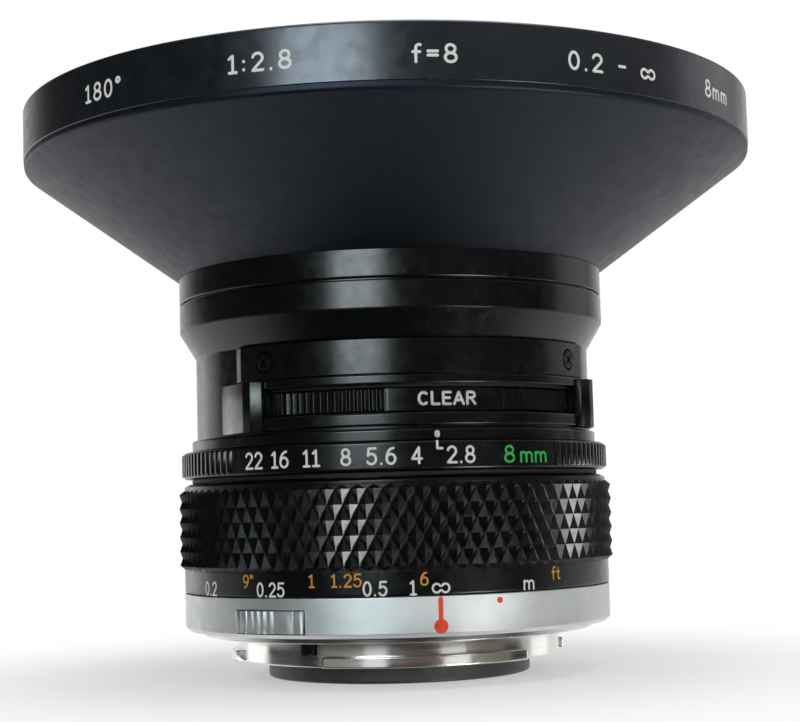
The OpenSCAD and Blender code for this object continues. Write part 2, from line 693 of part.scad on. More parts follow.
module rear_retainer() color("#181818") ring(g9_r, g9_r - 1.2, rear_cell_z0, rear_ring_z);

// Glass, from the front

module glass_1() color("#88aabb", 0.5) difference() {
    intersection() {
        turn([[0, g1_rim_z], [g1_hollow_r, g1_rim_z], [g1_seat_r, g1_seat_z], [g1_r, g1_seat_z],
            [g1_r, g1_step_z], [g1_step_r, g1_step_z], [g1_step_r, g1_apex], [0, g1_apex]]);
        translate([0, 0, g1_apex - g1_front_c]) sphere(g1_front_c);
    }
    translate([0, 0, g1_back - g1_back_c]) sphere(g1_back_c);
}

module glass_2() color("#88aabb", 0.5)
    glass(g2_r, g2_seat, g2_front, g2_front, g2_front_c, g2_back, -g2_back_c);

module glass_3() color("#88aabb", 0.5)
    glass(g3_r, g34_edge, g3_front, g3_front, g3_front_c, g34, -g34_c);

module glass_4() color("#88aabb", 0.5) glass(g3_r, g4_back, g34, g34, g34_c, g4_back, g4_back_c);

module glass_5() color("#88aabb", 0.5) glass(g5_r, g56, g5_front, g5_front, g5_front_c, g56, g56_c);

module glass_6() color("#88aabb", 0.5)
    glass(g5_r, g6_back, g56 + sag(g5_r, g56_c), g56, -g56_c, g6_back, g6_back_c);

module glass_7() color("#88aabb", 0.5) glass(g7_r, g78 - sag(g7_r, g78_c), g7_front + sag(g7_r, g7_front_c),
    g7_front, -g7_front_c, g78, -g78_c);

module glass_8() color("#88aabb", 0.5) glass(g7_r, g8_back, g78, g78, g78_c, g8_back, g8_back_c);

module glass_9() color("#88aabb", 0.5) glass(g9_r, g910, g9_front, g9_front, g9_front_c, g910, g910_c);

module glass_10() color("#88aabb", 0.5) glass(g9_r, g10_back - sag(g9_r, g10_back_c),
    g910 + sag(g9_r, g910_c), g910, -g910_c, g10_back, -g10_back_c);

module glass_11() color("#88aabb", 0.5)
    glass(g9_r, g11_back, g11_front, g11_front, g11_front_c, g11_back, g11_back_c);

// Aperture ring and iris

module aperture_ring() color("#161616") {
    r = aperture_r - aperture_step;
    half = number_band / 2;
    difference() {
        union() {
            turn([[core_r + run_gap, ap_z0], [r - 0.25, ap_z0], [r, ap_z0 + 0.25], [r, ap_z1 - 0.25],
                [r - 0.25, ap_z1], [core_r + run_gap, ap_z1]]);
            for (a = [number_turn + half, number_turn - half - grip_angle])
                translate([0, 0, ap_z0 + 0.25]) linear_extrude(ap_z1 - ap_z0 - 0.5) ribbed_arc(r, a);
        }
        block(arm_a, 1, core_r + 1.2, arm_w + 2 * fit_gap, cam_z0 - fit_gap, cam_z1 + fit_gap);
    }
}

// Outline of one ribbed grip of the aperture ring, over a ring of radius r, from the angle a on
module ribbed_arc(r, a) {
    step = grip_angle / grip_ribs;
    top = aperture_r;
    polygon(concat([for (i = [0 : grip_ribs - 1]) each [r * dir(a + i * step), top * dir(a + (i + 0.2) * step),
        top * dir(a + (i + 0.6) * step), r * dir(a + (i + 0.8) * step)]],
        [for (i = [grip_ribs : -1 : 0]) (r - 0.5) * dir(a + i * step)]));
}

module iris_cam_ring() color("#8a8a8a") difference() {
    union() {
        ring(cam_out, cam_in, cam_z0, cam_z1);
        block(arm_a, cam_out - 0.5, core_r + 1, arm_w, cam_z0, cam_z1);
    }
    for (k = [0 : blade_count - 1]) translate([0, 0, cam_z0 - 1]) linear_extrude(3)
        polygon(slot_outline(k, pin_r + fit_gap + 0.04));
}

module iris_blade(k) color("#404040") {
    z = blade_z + k * blade_pitch;
    rotate([0, 0, k * 360 / blade_count]) {
        arc_ring(blade_out, blade_in, -5, blade_angle, z, z + blade_t);
        arc_ring(ear_r, blade_out - 0.3, -6, drive_angle + 6, z, z + blade_t);
        translate([0, -pivot_r, carrier_z1 + 0.1]) cylinder(r = pin_r, h = z - carrier_z1, $fn = 32);
        rotate([0, 0, drive_angle]) translate([0, -pivot_r, z + blade_t - 0.05])
            cylinder(r = pin_r, h = cam_z1 - z - blade_t - 0.05, $fn = 32);
    }
}

module iris_blade_1() iris_blade(0);

module iris_blade_2() iris_blade(1);

module iris_blade_3() iris_blade(2);

module iris_blade_4() iris_blade(3);

module iris_blade_5() iris_blade(4);

module iris_blade_6() iris_blade(5);

// Filter ring and filter wheel

// Whether the angle a lies on one of the four smooth label pads
function apart(a, b) = abs((a - b + 900) % 360 - 180);
function on_label(a) =
    min([for (i = [0 : 3]) apart(a, label_turn - i * 360 / 6)]) < label_angle / 2;

module filter_ring() color("#141414") {
    step = 360 / knurl_count;
    low = selector_r - knurl_depth;
    translate([0, 0, selector_z0]) linear_extrude(selector_h) difference() {
        polygon([for (i = [0 : knurl_count - 1]) let (a = i * step)
            each on_label(a) ? [selector_r * dir(a), selector_r * dir(a + 0.5 * step)]
                : [selector_r * dir(a), selector_r * dir(a + 0.3 * step), low * dir(a + 0.65 * step)]]);
        polygon(gear_outline(ring_teeth, 1.25, 0.85, tooth_play / 2));
    }
}

module turret_wheel() color("#c9b26a") difference() {
    translate([0, -wheel_off, wheel_z0]) linear_extrude(wheel_z1 - wheel_z0)
        polygon(gear_outline(wheel_teeth, 0.85, 1.25, -tooth_play / 2));
    translate([0, -wheel_off, 0]) cylinder(r = axle_r + run_gap / 2, h = far, $fn = 48);
    for (i = [0 : 3]) filter_place(i) {
        cylinder(r = clear_r, h = far, $fn = 64);
        translate([0, 0, seat_z]) cylinder(r = seat_r, h = far, $fn = 64);
    }
}

// Place of filter i: number 0 stands on the optical axis, the others follow round the axle
module filter_place(i) {
    translate([0, -wheel_off, 0]) rotate([0, 0, -90 * i]) translate([0, wheel_off, 0]) children();
}

module filter_glass(i) {
    filter_place(i) translate([0, 0, seat_z]) cylinder(r = filter_r, h = filter_t, $fn = 64);
}

module clear_filter() color("#ddeeee", 0.5) filter_glass(0);

module yellow_filter() color("#eecc22", 0.5) filter_glass(1);

module orange_filter() color("#ee8822", 0.5) filter_glass(2);

module red_filter() color("#cc2222", 0.5) filter_glass(3);

module filter_retainers() color("#222222") for (i = [0 : 3]) filter_place(i)
    ring(filter_r, clear_r, seat_z + filter_t, wheel_z1 - 0.1);

// Push buttons and stop-down lever

module button(a) {
    intersection() {
        union() {
            block(a, shoe_out - 0.2, far, button_w, button_z, button_z + button_h);
            block(a, shoe_in, shoe_out, 2 * shoe_half, floor_z + 0.1, barrel_z1 - 0.3);
        }
        disc(button_face, 0, far);
    }
}

// Grooves on the face of a button: most of it ribbed, then a smooth field and one last groove
module button_cuts(a) {
    pitch = 0.1 * button_w;
    for (x = concat([for (i = [0 : button_grooves - 1]) 0.09 * button_w + i * pitch], [0.88 * button_w]))
        rotate([0, 0, a]) translate([x - button_w / 2, -button_face, button_z + button_h / 2])
            rotate([0, 0, 45]) cube([0.45, 0.45, 2 * button_h], center = true);
}

module release_button() color("#b8b8b8") difference() {
    button(release_angle);
    button_cuts(release_angle);
}

module lock_catch() color("#333333") {
    block(catch_a, catch_in, shoe_out - 0.1, catch_w, 0.15, floor_z - 0.15);
    block(catch_a, catch_in, catch_out, catch_w, -1.6, 0.2);
    block(catch_a, shoe_in + 0.05, shoe_out - 0.1, catch_w, 0.2, floor_z + 0.1);
}

module preview_button() color("#b8b8b8") difference() {
    button(preview_angle);
    button_cuts(preview_angle);
}

module stop_down_lever() color("lightgray") {
    lever_a = 60;
    ring(fixed_in - run_gap, lever_in, floor_z + 0.1, floor_z + 0.9);
    block(lever_a, rear_cell_r + 2.7, lever_in + 0.5, 2.5, floor_z + 0.1, floor_z + 0.9);
    block(lever_a, rear_cell_r + 2.7, rear_cell_r + 4.7, 2.5, -collar_h - 1.2, floor_z + 0.9);
}

mount_barrel();
bayonet_plate();
mount_screws();
rear_baffle();
fixed_tube();
focus_key();
release_spring();
preview_spring();
focus_ring();
focus_grip();
front_carrier();
helicoid_tube();
rear_cell();
iris_base();
iris_lid();
index_ring();
turret_plate();
turret_lid();
turret_axle();
turret_housing();
window_frame();
turret_cover();
cover_screws();
neck_lower();
neck_upper();
front_cell();
front_cone();
front_retainer();
cell_retainers();
rear_retainer();
glass_1();
glass_2();
glass_3();
glass_4();
glass_5();
glass_6();
glass_7();
glass_8();
glass_9();
glass_10();
glass_11();
aperture_ring();
iris_cam_ring();
filter_ring();
turret_wheel();
clear_filter();
yellow_filter();
orange_filter();
red_filter();
filter_retainers();
iris_blade_1();
iris_blade_2();
iris_blade_3();
iris_blade_4();
iris_blade_5();
iris_blade_6();
release_button();
lock_catch();
preview_button();
stop_down_lever();
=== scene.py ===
# %% [markdown]
# # A fisheye lens, finished
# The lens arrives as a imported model: every metal ring, glass and screw is already there, at its real
# size, and some of them move. This lesson dresses it. Rings that show are turned again with soft
# edges, the rubber grip gets its diamonds, the scales get their figures, and every surface gets a
# finish that follows the real material. Lengths are written in millimetres and used in metres.

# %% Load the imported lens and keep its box
import math

import bmesh
import bpy
from mathutils import Matrix, Vector


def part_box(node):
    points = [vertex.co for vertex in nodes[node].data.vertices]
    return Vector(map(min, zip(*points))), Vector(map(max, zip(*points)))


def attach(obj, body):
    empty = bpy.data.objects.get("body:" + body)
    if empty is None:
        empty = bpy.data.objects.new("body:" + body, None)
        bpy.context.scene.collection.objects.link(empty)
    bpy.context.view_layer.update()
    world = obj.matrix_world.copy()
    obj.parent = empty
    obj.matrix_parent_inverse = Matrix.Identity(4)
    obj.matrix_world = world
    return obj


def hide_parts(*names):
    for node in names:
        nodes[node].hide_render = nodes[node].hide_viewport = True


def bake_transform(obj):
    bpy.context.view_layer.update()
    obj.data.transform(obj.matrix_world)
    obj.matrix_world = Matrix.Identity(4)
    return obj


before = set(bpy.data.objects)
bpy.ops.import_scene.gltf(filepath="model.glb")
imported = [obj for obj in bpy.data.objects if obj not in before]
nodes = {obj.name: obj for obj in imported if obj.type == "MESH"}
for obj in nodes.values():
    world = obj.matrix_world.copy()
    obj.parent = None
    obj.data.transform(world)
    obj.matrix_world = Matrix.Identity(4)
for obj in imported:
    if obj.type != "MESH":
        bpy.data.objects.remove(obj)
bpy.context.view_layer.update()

MM = 0.001
scene = bpy.context.scene
print("pieces in the packed lens:", len(nodes))

# %% [markdown]
# ## The camera
# The photograph looks slightly up at the lens from the height of its focusing ring, a little to the
# left of the index line. The numbers below come from matching the rings' ellipses in the picture, so
# the camera stands about 24 cm away with a short telephoto view.

# %% Camera at the photograph's place
VIEW_TURN = math.radians(-10.6)
CAMERA_AT = Vector((0, -241.09, 16.89)) * MM
YAW, PITCH, ROLL = 0.005, 0.0858, -0.0268

forward = Vector((math.sin(YAW) * math.cos(PITCH), math.cos(YAW) * math.cos(PITCH), math.sin(PITCH)))
level = Vector((math.cos(YAW), -math.sin(YAW), 0))
upward = level.cross(forward)
side = math.cos(ROLL) * level + math.sin(ROLL) * upward
top = math.cos(ROLL) * upward - math.sin(ROLL) * level
aim = Matrix((side, top, -forward)).transposed().to_4x4()
turn = Matrix.Rotation(VIEW_TURN, 4, "Z")
camera = bpy.data.objects.new("camera", bpy.data.cameras.new("camera"))
camera.data.sensor_width, camera.data.lens = 36.0, 76.5
camera.data.clip_start = 0.01
camera.matrix_world = turn @ Matrix.Translation(CAMERA_AT) @ aim
scene.collection.objects.link(camera)
scene.camera = camera
print("camera stands at", [round(v, 4) for v in camera.matrix_world.translation])

# %% [markdown]
# ## Two small helpers
# Colours are easier to compare with a photograph as sRGB hex values, but Blender mixes light in
# linear numbers, so one function converts. A second one adds a node with its settings and links;
# it serves the materials and the geometry alike.

# %% Colour and node helpers
def rgb(hex_value, alpha=1.0):
    parts = [int(hex_value[i:i + 2], 16) / 255 for i in (1, 3, 5)]
    linear = [p / 12.92 if p <= 0.04045 else ((p + 0.055) / 1.055) ** 2.4 for p in parts]
    return (*linear, alpha)


def add_node(tree, kind, sockets=None, **settings):
    made = tree.nodes.new(kind)
    for key, value in settings.items():
        setattr(made, key, value)
    for key, value in (sockets or {}).items():
        if isinstance(value, bpy.types.NodeSocket):
            tree.links.new(value, made.inputs[key])
        else:
            made.inputs[key].default_value = value
    return made


print("mid grey in linear light:", [round(c, 3) for c in rgb("#808080")])

# %% [markdown]
# ## Light
# A black lens shows mostly what it reflects, so the light matters more than the colours. The lens stands
# on a white table before a white wall, the room in front is dim, and a window makes one tall highlight
# left of the middle. A panorama picture could give that, but a few soft patches drawn with nodes are
# enough and can be matched one by one. The world is white for the camera and through glass; the patches
# show in shiny surfaces alone. Brightness 1 is the white of the background.

# %% World and its directions
SUN_TURN, DIM_ROOM, SOFT_LIGHT = 45, 0.03, 0.45


def sine(degrees):
    return math.sin(math.radians(degrees))


def cosine(degrees):
    return math.cos(math.radians(degrees))


world = bpy.data.worlds.new("studio")
scene.world = world
world.use_nodes = True
sky = world.node_tree
sky.nodes.clear()
look = add_node(sky, "ShaderNodeTexCoord").outputs["Generated"]
height = add_node(sky, "ShaderNodeSeparateXYZ", {0: look}).outputs["Z"]
flat = add_node(sky, "ShaderNodeVectorMath", {0: look, 1: (1, 1, 0)}, operation="MULTIPLY").outputs[0]
compass = add_node(sky, "ShaderNodeVectorMath", {0: flat}, operation="NORMALIZE").outputs[0]
BEHIND, RIGHT = turn @ Vector((0, 1, 0)), turn @ Vector((1, 0, 0))
SUNNY = turn @ Vector((sine(SUN_TURN), -cosine(SUN_TURN), 0))
behind, at_back, at_right, at_sun = [
    add_node(sky, "ShaderNodeVectorMath", {0: heading, 1: direction}, operation="DOT_PRODUCT").outputs["Value"]
    for heading, direction in ((look, BEHIND), (compass, BEHIND), (compass, RIGHT), (compass, SUNNY))]
print("the wall is towards", [round(v, 2) for v in BEHIND])

# %% Patches of light
def patch(bright, *limits):
    """Part of the surroundings: each limit fades it in while a value goes from a start to an end."""
    for value, start, end in limits:
        step = add_node(sky, "ShaderNodeMapRange", {0: value, "From Min": start, "From Max": end},
                        interpolation_type="SMOOTHSTEP")
        bright = add_node(sky, "ShaderNodeMath", {0: bright, 1: step.outputs[0]}, operation="MULTIPLY").outputs[0]
    return bright


patches = {
    "white wall": patch(0.92, (behind, 0.55, 0.98)),
    "paler upper right": patch(0.3, (at_right, 0.0, 0.4), (height, sine(11), sine(15))),
    "ceiling": patch(0.8, (height, 0.65, 0.95)),
    "table below": patch(0.9, (at_back, -0.5, 0.35), (height, 0.0, -0.04)),
    "sunlit table": patch(13.0, (at_sun, cosine(12), cosine(7)), (height, sine(-13), sine(-18)),
                          (height, sine(-38), sine(-33))),
    "glow beside it": patch(0.5, (at_sun, cosine(26), cosine(12)), (height, sine(-4), sine(-7)),
                            (height, sine(-30), sine(-24)))}
around = DIM_ROOM
for name, light in patches.items():
    mix = "ADD" if name == "white wall" else "MAXIMUM"
    around = add_node(sky, "ShaderNodeMath", {0: around, 1: light}, operation=mix).outputs[0]
print("patches of light:", ", ".join(patches))

# %% What each kind of ray sees
ray = add_node(sky, "ShaderNodeLightPath").outputs
seen = add_node(sky, "ShaderNodeMath", {0: ray["Is Camera Ray"], 1: ray["Is Transmission Ray"]},
                operation="MAXIMUM")
mirrored = add_node(sky, "ShaderNodeMath", {0: ray["Is Glossy Ray"], 1: around}, operation="MULTIPLY")
unlit = add_node(sky, "ShaderNodeMath", {0: 1.0, 1: ray["Is Glossy Ray"]}, operation="SUBTRACT")
soft = add_node(sky, "ShaderNodeMath", {0: unlit.outputs[0], 1: SOFT_LIGHT}, operation="MULTIPLY")
other = add_node(sky, "ShaderNodeMath", {0: mirrored.outputs[0], 1: soft.outputs[0]}, operation="ADD")
strength = add_node(sky, "ShaderNodeMath", {0: other.outputs[0], 1: seen.outputs[0]}, operation="MAXIMUM")
air = add_node(sky, "ShaderNodeBackground", {"Color": rgb("#ffffff"), "Strength": strength.outputs[0]})
add_node(sky, "ShaderNodeOutputWorld", {"Surface": air.outputs[0]})
scene.view_settings.view_transform = "Standard"
print("world made of", len(sky.nodes), "nodes")

# %% [markdown]
# ## Lamps
# One soft lamp overhead lights everything. The others are soft boxes that only shiny surfaces see, as a
# photographer places white cards: the window, a wall at each side, and low strips close to the chromed
# bayonet, which mirrors whatever stands near it.

# %% Soft boxes and strips of card
REST_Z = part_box("rear_baffle")[0].z
LENS_MIDDLE = (0, 0, 0.04)


def area_lamp(name, azimuth, distance, height, size, bright, colour="#ffffff", gloss_only=True, face=LENS_MIDDLE):
    """A soft box that faces a point, in metres; azimuth is counted from the camera's side, in degrees."""
    lamp = bpy.data.lights.new(name, "AREA")
    lamp.shape, lamp.size, lamp.size_y = "RECTANGLE", size[0], size[1]
    lamp.energy, lamp.color = bright * math.pi * size[0] * size[1], rgb(colour)[:3]
    place = turn @ Matrix.Rotation(math.radians(azimuth), 4, "Z") @ Vector((0, -distance, height))
    made = bpy.data.objects.new(name, lamp)
    made.location = place
    made.rotation_euler = (Vector(face) - place).to_track_quat("-Z", "Y").to_euler()
    made.visible_camera, made.visible_diffuse = False, not gloss_only
    scene.collection.objects.link(made)


area_lamp("ceiling", 30, 0.15, 0.75, (0.6, 0.6), 3.2, gloss_only=False)
area_lamp("window", -16.5, 0.62, 0.168, (0.27, 0.196), 9.5, "#e2f0f4")
area_lamp("white_wall_left", -131, 0.5, 0.035, (0.25, 0.11), 0.9)
area_lamp("pale_wall_right", 112, 0.5, 0.16, (0.28, 0.20), 0.6)
# Each strip: azimuth and width in degrees, brightness, colour.
STRIPS = [(-88, 28, 0.75, "#f4f6fa"), (-60, 18, 0.1, "#9aa4c8"), (-28.5, 23, 0.3, "#f4f0e6"),
          (-11, 11, 0.95, "#f2f6f4"), (8, 22, 0.13, "#c89a98"), (26, 13, 0.95, "#ffffff"),
          (45, 22, 0.2, "#efe6cc"), (80, 40, 0.55, "#ffffff")]
STRIP_R, STRIP_HIGH, STRIP_LIFT = 0.036, 0.0034, 0.0002
strip_z = REST_Z + STRIP_LIFT + STRIP_HIGH / 2
for azimuth, width, bright, colour in STRIPS:
    size = (2 * STRIP_R * sine(width / 2), STRIP_HIGH)
    area_lamp("strip_of_card", azimuth, STRIP_R, strip_z, size, bright, colour, face=(0, 0, strip_z))
print("soft boxes: 4, strips of card:", len(STRIPS))

# %% [markdown]
# ## Floor
# The floor is one plain pale sheet. A lit sheet would never be the even white of the background, so it
# glows white for the camera, and mixes into its own shaded surface close to the lens: there it keeps the
# shadow. Shiny surfaces see the table that the world draws, not this flat sheet.

# %% Pale floor
FLOOR_HALF, SHADE_NEAR, SHADE_FAR, NEAR_GLOW = 4.0, 0.018, 0.10, 0.45
floor_mesh = bpy.data.meshes.new("floor")
corners = [(x * FLOOR_HALF, y * FLOOR_HALF, REST_Z) for x, y in ((-1, -1), (1, -1), (1, 1), (-1, 1))]
floor_mesh.from_pydata(corners, [], [(0, 1, 2, 3)])
floor = bpy.data.objects.new("floor", floor_mesh)
scene.collection.objects.link(floor)
floor.visible_glossy = False
sheet = bpy.data.materials.new("paper_white_matt")
sheet.use_nodes = True
paper = sheet.node_tree
paper.nodes.clear()
place = add_node(paper, "ShaderNodeTexCoord")
reach = add_node(paper, "ShaderNodeVectorMath", {0: place.outputs["Object"]}, operation="LENGTH")
far = add_node(paper, "ShaderNodeMapRange", {0: reach.outputs["Value"], "From Min": SHADE_NEAR,
                                             "From Max": SHADE_FAR}, interpolation_type="SMOOTHSTEP")
glow = add_node(paper, "ShaderNodeMapRange", {0: far.outputs[0], "To Min": NEAR_GLOW, "To Max": 1.0})
ray = add_node(paper, "ShaderNodeLightPath").outputs
seen = add_node(paper, "ShaderNodeMath", {0: ray["Is Camera Ray"], 1: ray["Is Transmission Ray"]},
                operation="MAXIMUM")
shown = add_node(paper, "ShaderNodeMath", {0: seen.outputs[0], 1: glow.outputs[0]}, operation="MULTIPLY")
shaded = add_node(paper, "ShaderNodeBsdfDiffuse", {"Color": rgb("#ececea")})
white = add_node(paper, "ShaderNodeEmission", {"Color": rgb("#ffffff"), "Strength": 1.0})
lit = add_node(paper, "ShaderNodeMixShader", {0: shown.outputs[0], 1: shaded.outputs[0], 2: white.outputs[0]})
add_node(paper, "ShaderNodeOutputMaterial", {"Surface": lit.outputs[0]})
floor_mesh.materials.append(sheet)
print("floor at", round(REST_Z / MM, 2), "mm")

# %% [markdown]
# ## Finishes
# Each finish starts from the real material and how its surface was made. No surface is quite even, so a
# colour or a roughness is mostly a soft noise between two close values. Flat values would be simpler and
# would look like plastic. The noise reads Object coordinates, so its scale is one over its real size in metres.

# %% A finish and its patterns
def shade(value):
    """A hex colour or a plain number as a colour for a ramp; a finished colour stays as it is."""
    if isinstance(value, str):
        return rgb(value)
    return value if isinstance(value, tuple) else (value, value, value, 1)


def coordinates(tree, drawn_out=1.0):
    """Object coordinates; drawn_out below 1 stretches a pattern into lines round the axis."""
    spot = add_node(tree, "ShaderNodeTexCoord").outputs["Object"]
    if drawn_out == 1.0:
        return spot
    return add_node(tree, "ShaderNodeMapping", {"Vector": spot, "Scale": (drawn_out, drawn_out, 1.0)}).outputs[0]


def blotch(tree, size_mm, low, high, drawn_out=1.0):
    """Noise of a real size, mapped between two values or two colours."""
    spot = coordinates(tree, drawn_out)
    noise = add_node(tree, "ShaderNodeTexNoise", {"Vector": spot, "Scale": 1 / (size_mm * MM)})
    ramp = add_node(tree, "ShaderNodeValToRGB", {"Fac": noise.outputs["Fac"]})
    for end, position, value in zip(ramp.color_ramp.elements, (0.3, 0.7), (low, high)):
        end.position, end.color = position, shade(value)
    return ramp.outputs["Color"]


def finish(name, sockets):
    """A Principled material. A socket holds a hex colour, a number, or a blotch: size in mm, low and high."""
    made = bpy.data.materials.new(name)
    made.use_nodes = True
    tree = made.node_tree
    shader = tree.nodes["Principled BSDF"]
    for socket, value in sockets.items():
        if isinstance(value, tuple):
            tree.links.new(blotch(tree, *value), shader.inputs[socket])
        else:
            shader.inputs[socket].default_value = rgb(value) if isinstance(value, str) else value
    return made


def roughen(material, size_mm, strength, depth_mm, detail=2.0, drawn_out=1.0):
    """Adds a fine relief to a finish."""
    tree = material.node_tree
    spot = coordinates(tree, drawn_out)
    grain = add_node(tree, "ShaderNodeTexNoise", {"Vector": spot, "Scale": 1 / (size_mm * MM), "Detail": detail})
    bump = add_node(tree, "ShaderNodeBump", {"Height": grain.outputs["Fac"], "Strength": strength,
                                             "Distance": depth_mm * MM})
    tree.links.new(bump.outputs["Normal"], tree.nodes["Principled BSDF"].inputs["Normal"])


print("a mid grey for a ramp:", shade(0.5))

# %% Black finishes
# Baked enamel on aluminium: deep black with a wet look, faintly uneven like any sprayed coat.
black_enamel = finish("aluminium_black_enamel_baked", {
    "Base Color": (2.0, "#040704", "#080c08"), "Roughness": (1.5, 0.20, 0.28)})
roughen(black_enamel, 1.1, 0.05, 0.02, detail=1.0)

# Bead-blasted and black anodised aluminium: a soft satin that turns blue-grey where it faces the light.
# The blasted grit is about 0.05 mm; it is drawn at 0.16 mm so that it shows.
black_satin = finish("aluminium_black_anodised_blasted", {
    "Base Color": (3.0, "#05070a", "#0a0d12"), "Roughness": (2.0, 0.42, 0.50), "Specular Tint": "#c3d3f0"})
roughen(black_satin, 0.16, 0.12, 0.02)

# Polished before the same anodising: blue-black with one broad soft highlight, for the rim.
black_polish = finish("aluminium_black_anodised_polished", {
    "Base Color": (3.0, "#13171b", "#191e23"), "Roughness": (2.0, 0.22, 0.30), "Specular Tint": "#eef3ff",
    "Specular IOR Level": 0.8})

# Flat black paint of the light baffle, drawn mid-grey all over: the white table's light on it is painted into its
# colour.
flat_black_painted_light = finish("aluminium_black_paint_flat_painted_light", {"Base Color": (1.5, "#4a4d49", "#595c57"), "Roughness": 0.5})

# Dull black anodising for everything near the light path.
black_matt = finish("aluminium_black_anodised_matt", {"Base Color": (1.5, "#0b0b0c", "#141414"), "Roughness": 0.62})

# Moulded nitrile rubber, a little shiny on its facets from handling.
rubber = finish("nitrile_rubber_moulded", {"Base Color": (2.5, "#090b0a", "#0f1110"), "Roughness": (1.2, 0.18, 0.28)})
print("black finishes: 6")

# %% Metal finishes
# Satin anodised aluminium, turned: pale, with very fine lines around the ring.
satin_silver = finish("aluminium_clear_anodised_turned", {
    "Base Color": (4.0, "#dcdfdf", "#e7e9e8"), "Roughness": (1.5, 0.46, 0.54), "Metallic": 1.0})
roughen(satin_silver, 0.12, 0.10, 0.01, drawn_out=0.02)

# Chrome on brass: bright, softened by fine rubbing marks from being mounted.
chrome = finish("brass_chrome_plated_polished", {
    "Base Color": "#dedcd8", "Roughness": (0.4, 0.17, 0.25, 0.05), "Metallic": 1.0})

# Turned brass of the focusing threads, darkened by grease.
brass = finish("brass_turned", {"Base Color": (2.0, "#6b552c", "#8a7040"), "Roughness": 0.42, "Metallic": 1.0})

# Plain and blackened steel of levers, springs, screws and blades; the oxide dulls the metal.
steel = finish("steel_ground", {"Base Color": (1.0, "#8b8d8e", "#9b9c9c"), "Roughness": 0.32, "Metallic": 1.0})
black_steel = finish("steel_black_oxide", {
    "Base Color": (0.8, "#17181a", "#232427"), "Roughness": 0.34, "Metallic": 0.7})
print("metal finishes: 5")

# %% Paint and glass finishes
# Paint wiped into engraved figures: matt, and a touch lighter where it is thin.
paints = {}
for colour, value in (("white", "#e9ebe8"), ("amber", "#d9941c"), ("green", "#27c058"), ("red", "#ff4a20")):
    thin = tuple(min(1.0, part * 1.06) for part in rgb(value))
    paints[colour] = finish("engraving_paint_" + colour, {"Base Color": (0.5, value, thin), "Roughness": 0.45})


def glass_finish(name, colour, ior=1.5, **coating):
    """Polished glass with a breath of dust; a coating shows as a coloured reflection."""
    return finish(name, {"Base Color": colour, "Transmission Weight": 1.0, "IOR": ior, "Roughness": (3.0, 0.0, 0.03),
                         **coating})


front_glass = glass_finish("crown_glass_coated", "#f4fbf8", 1.52, **{"Specular Tint": "#b7a0ff"})
inner_glass = glass_finish("flint_glass_coated", "#f2faf6", **{"Specular Tint": "#ffc08a"})
filter_glass = {name: glass_finish("filter_glass_" + name, value) for name, value in (
    ("clear", "#f6fbfa"), ("yellow", "#f2d02a"), ("orange", "#ee8a1c"), ("red", "#c41812"))}
print("paints:", len(paints), "and glasses:", 2 + len(filter_glass))

# %% [markdown]
# ## A black card before the chrome
# Polished metal shows every gap between the strips. A photographer closes the gaps with black card, and
# so does this bent one: it stands close behind the strips, and only shiny surfaces see it.

# %% Black card
CARD_GAP, CARD_FOOT, CARD_OVER, CARD_END, CARD_STEP = 0.0008, 0.0001, 0.0003, 77, 7
card_r, card_turns = STRIP_R + CARD_GAP, range(-CARD_END, CARD_END + 1, CARD_STEP)
corners = [turn @ Matrix.Rotation(math.radians(t), 4, "Z") @ Vector((0, -card_r, REST_Z + up))
           for up in (CARD_FOOT, STRIP_HIGH + CARD_OVER) for t in card_turns]
count = len(card_turns)
card_mesh = bpy.data.meshes.new("black_card")
card_mesh.from_pydata(corners, [], [(k, k + 1, count + k + 1, count + k) for k in range(count - 1)])
card_mesh.materials.append(black_matt)
card = bpy.data.objects.new("black_card", card_mesh)
scene.collection.objects.link(card)
card.visible_camera = card.visible_diffuse = card.visible_transmission = card.visible_shadow = False
print("black card at", round(card_r / MM, 1), "mm")

# %% [markdown]
# ## Turned rings
# Nearly every outside piece of a lens is a turned ring: a flat outline spun round the axis. On the
# real ring each edge is broken with a small radius, and that radius is what draws the thin bright
# lines in the photograph. So the outlines get rounded corners first, and one Geometry Nodes tree
# spins any of them. It lays a grid of points, looks up the outline's point for each row and turns it
# by the angle of its column. A row can also be marked as studded: then every second point is raised,
# which is how the rubber grip gets its diamonds.

# %% Round the corners of an outline
NEARLY_STRAIGHT, LONGEST_SHARE, LONGEST_HOLD = 176, 0.42, 0.1


def rounded(outline, steps=4, hold=0.5):
    """Closed outline of (radius, height, corner radius); returns points with filleted corners, in mm.
    Two more points beside each fillet keep the flats flat when they are shaded smooth."""
    points = []
    count = len(outline)
    for i, (x, z, r) in enumerate(outline):
        here = Vector((x, z))
        back = Vector(outline[i - 1][:2]) - here
        on = Vector(outline[(i + 1) % count][:2]) - here
        bend = back.angle(on)
        if r <= 0 or bend > math.radians(NEARLY_STRAIGHT):
            points.append((x, z))
            continue
        reach = min(r / math.tan(bend / 2), LONGEST_SHARE * back.length, LONGEST_SHARE * on.length)
        r = reach * math.tan(bend / 2)
        back.normalize()
        on.normalize()
        middle = here + (back + on).normalized() * (r / math.sin(bend / 2))
        first, last = here + back * reach, here + on * reach
        points.append(tuple(first + back * min(hold * r, LONGEST_HOLD)))
        for k in range(steps + 1):
            blend = (first - middle).lerp(last - middle, k / steps)
            points.append(tuple(middle + blend.normalized() * r))
        points.append(tuple(last + on * min(hold * r, LONGEST_HOLD)))
    return points


square = rounded([(1, 0, 0.1), (2, 0, 0.1), (2, 1, 0.1), (1, 1, 0.1)])
print("a square ring with rounded corners has", len(square), "points")

# %% The tree that spins an outline
WELD = 0.0005 * MM


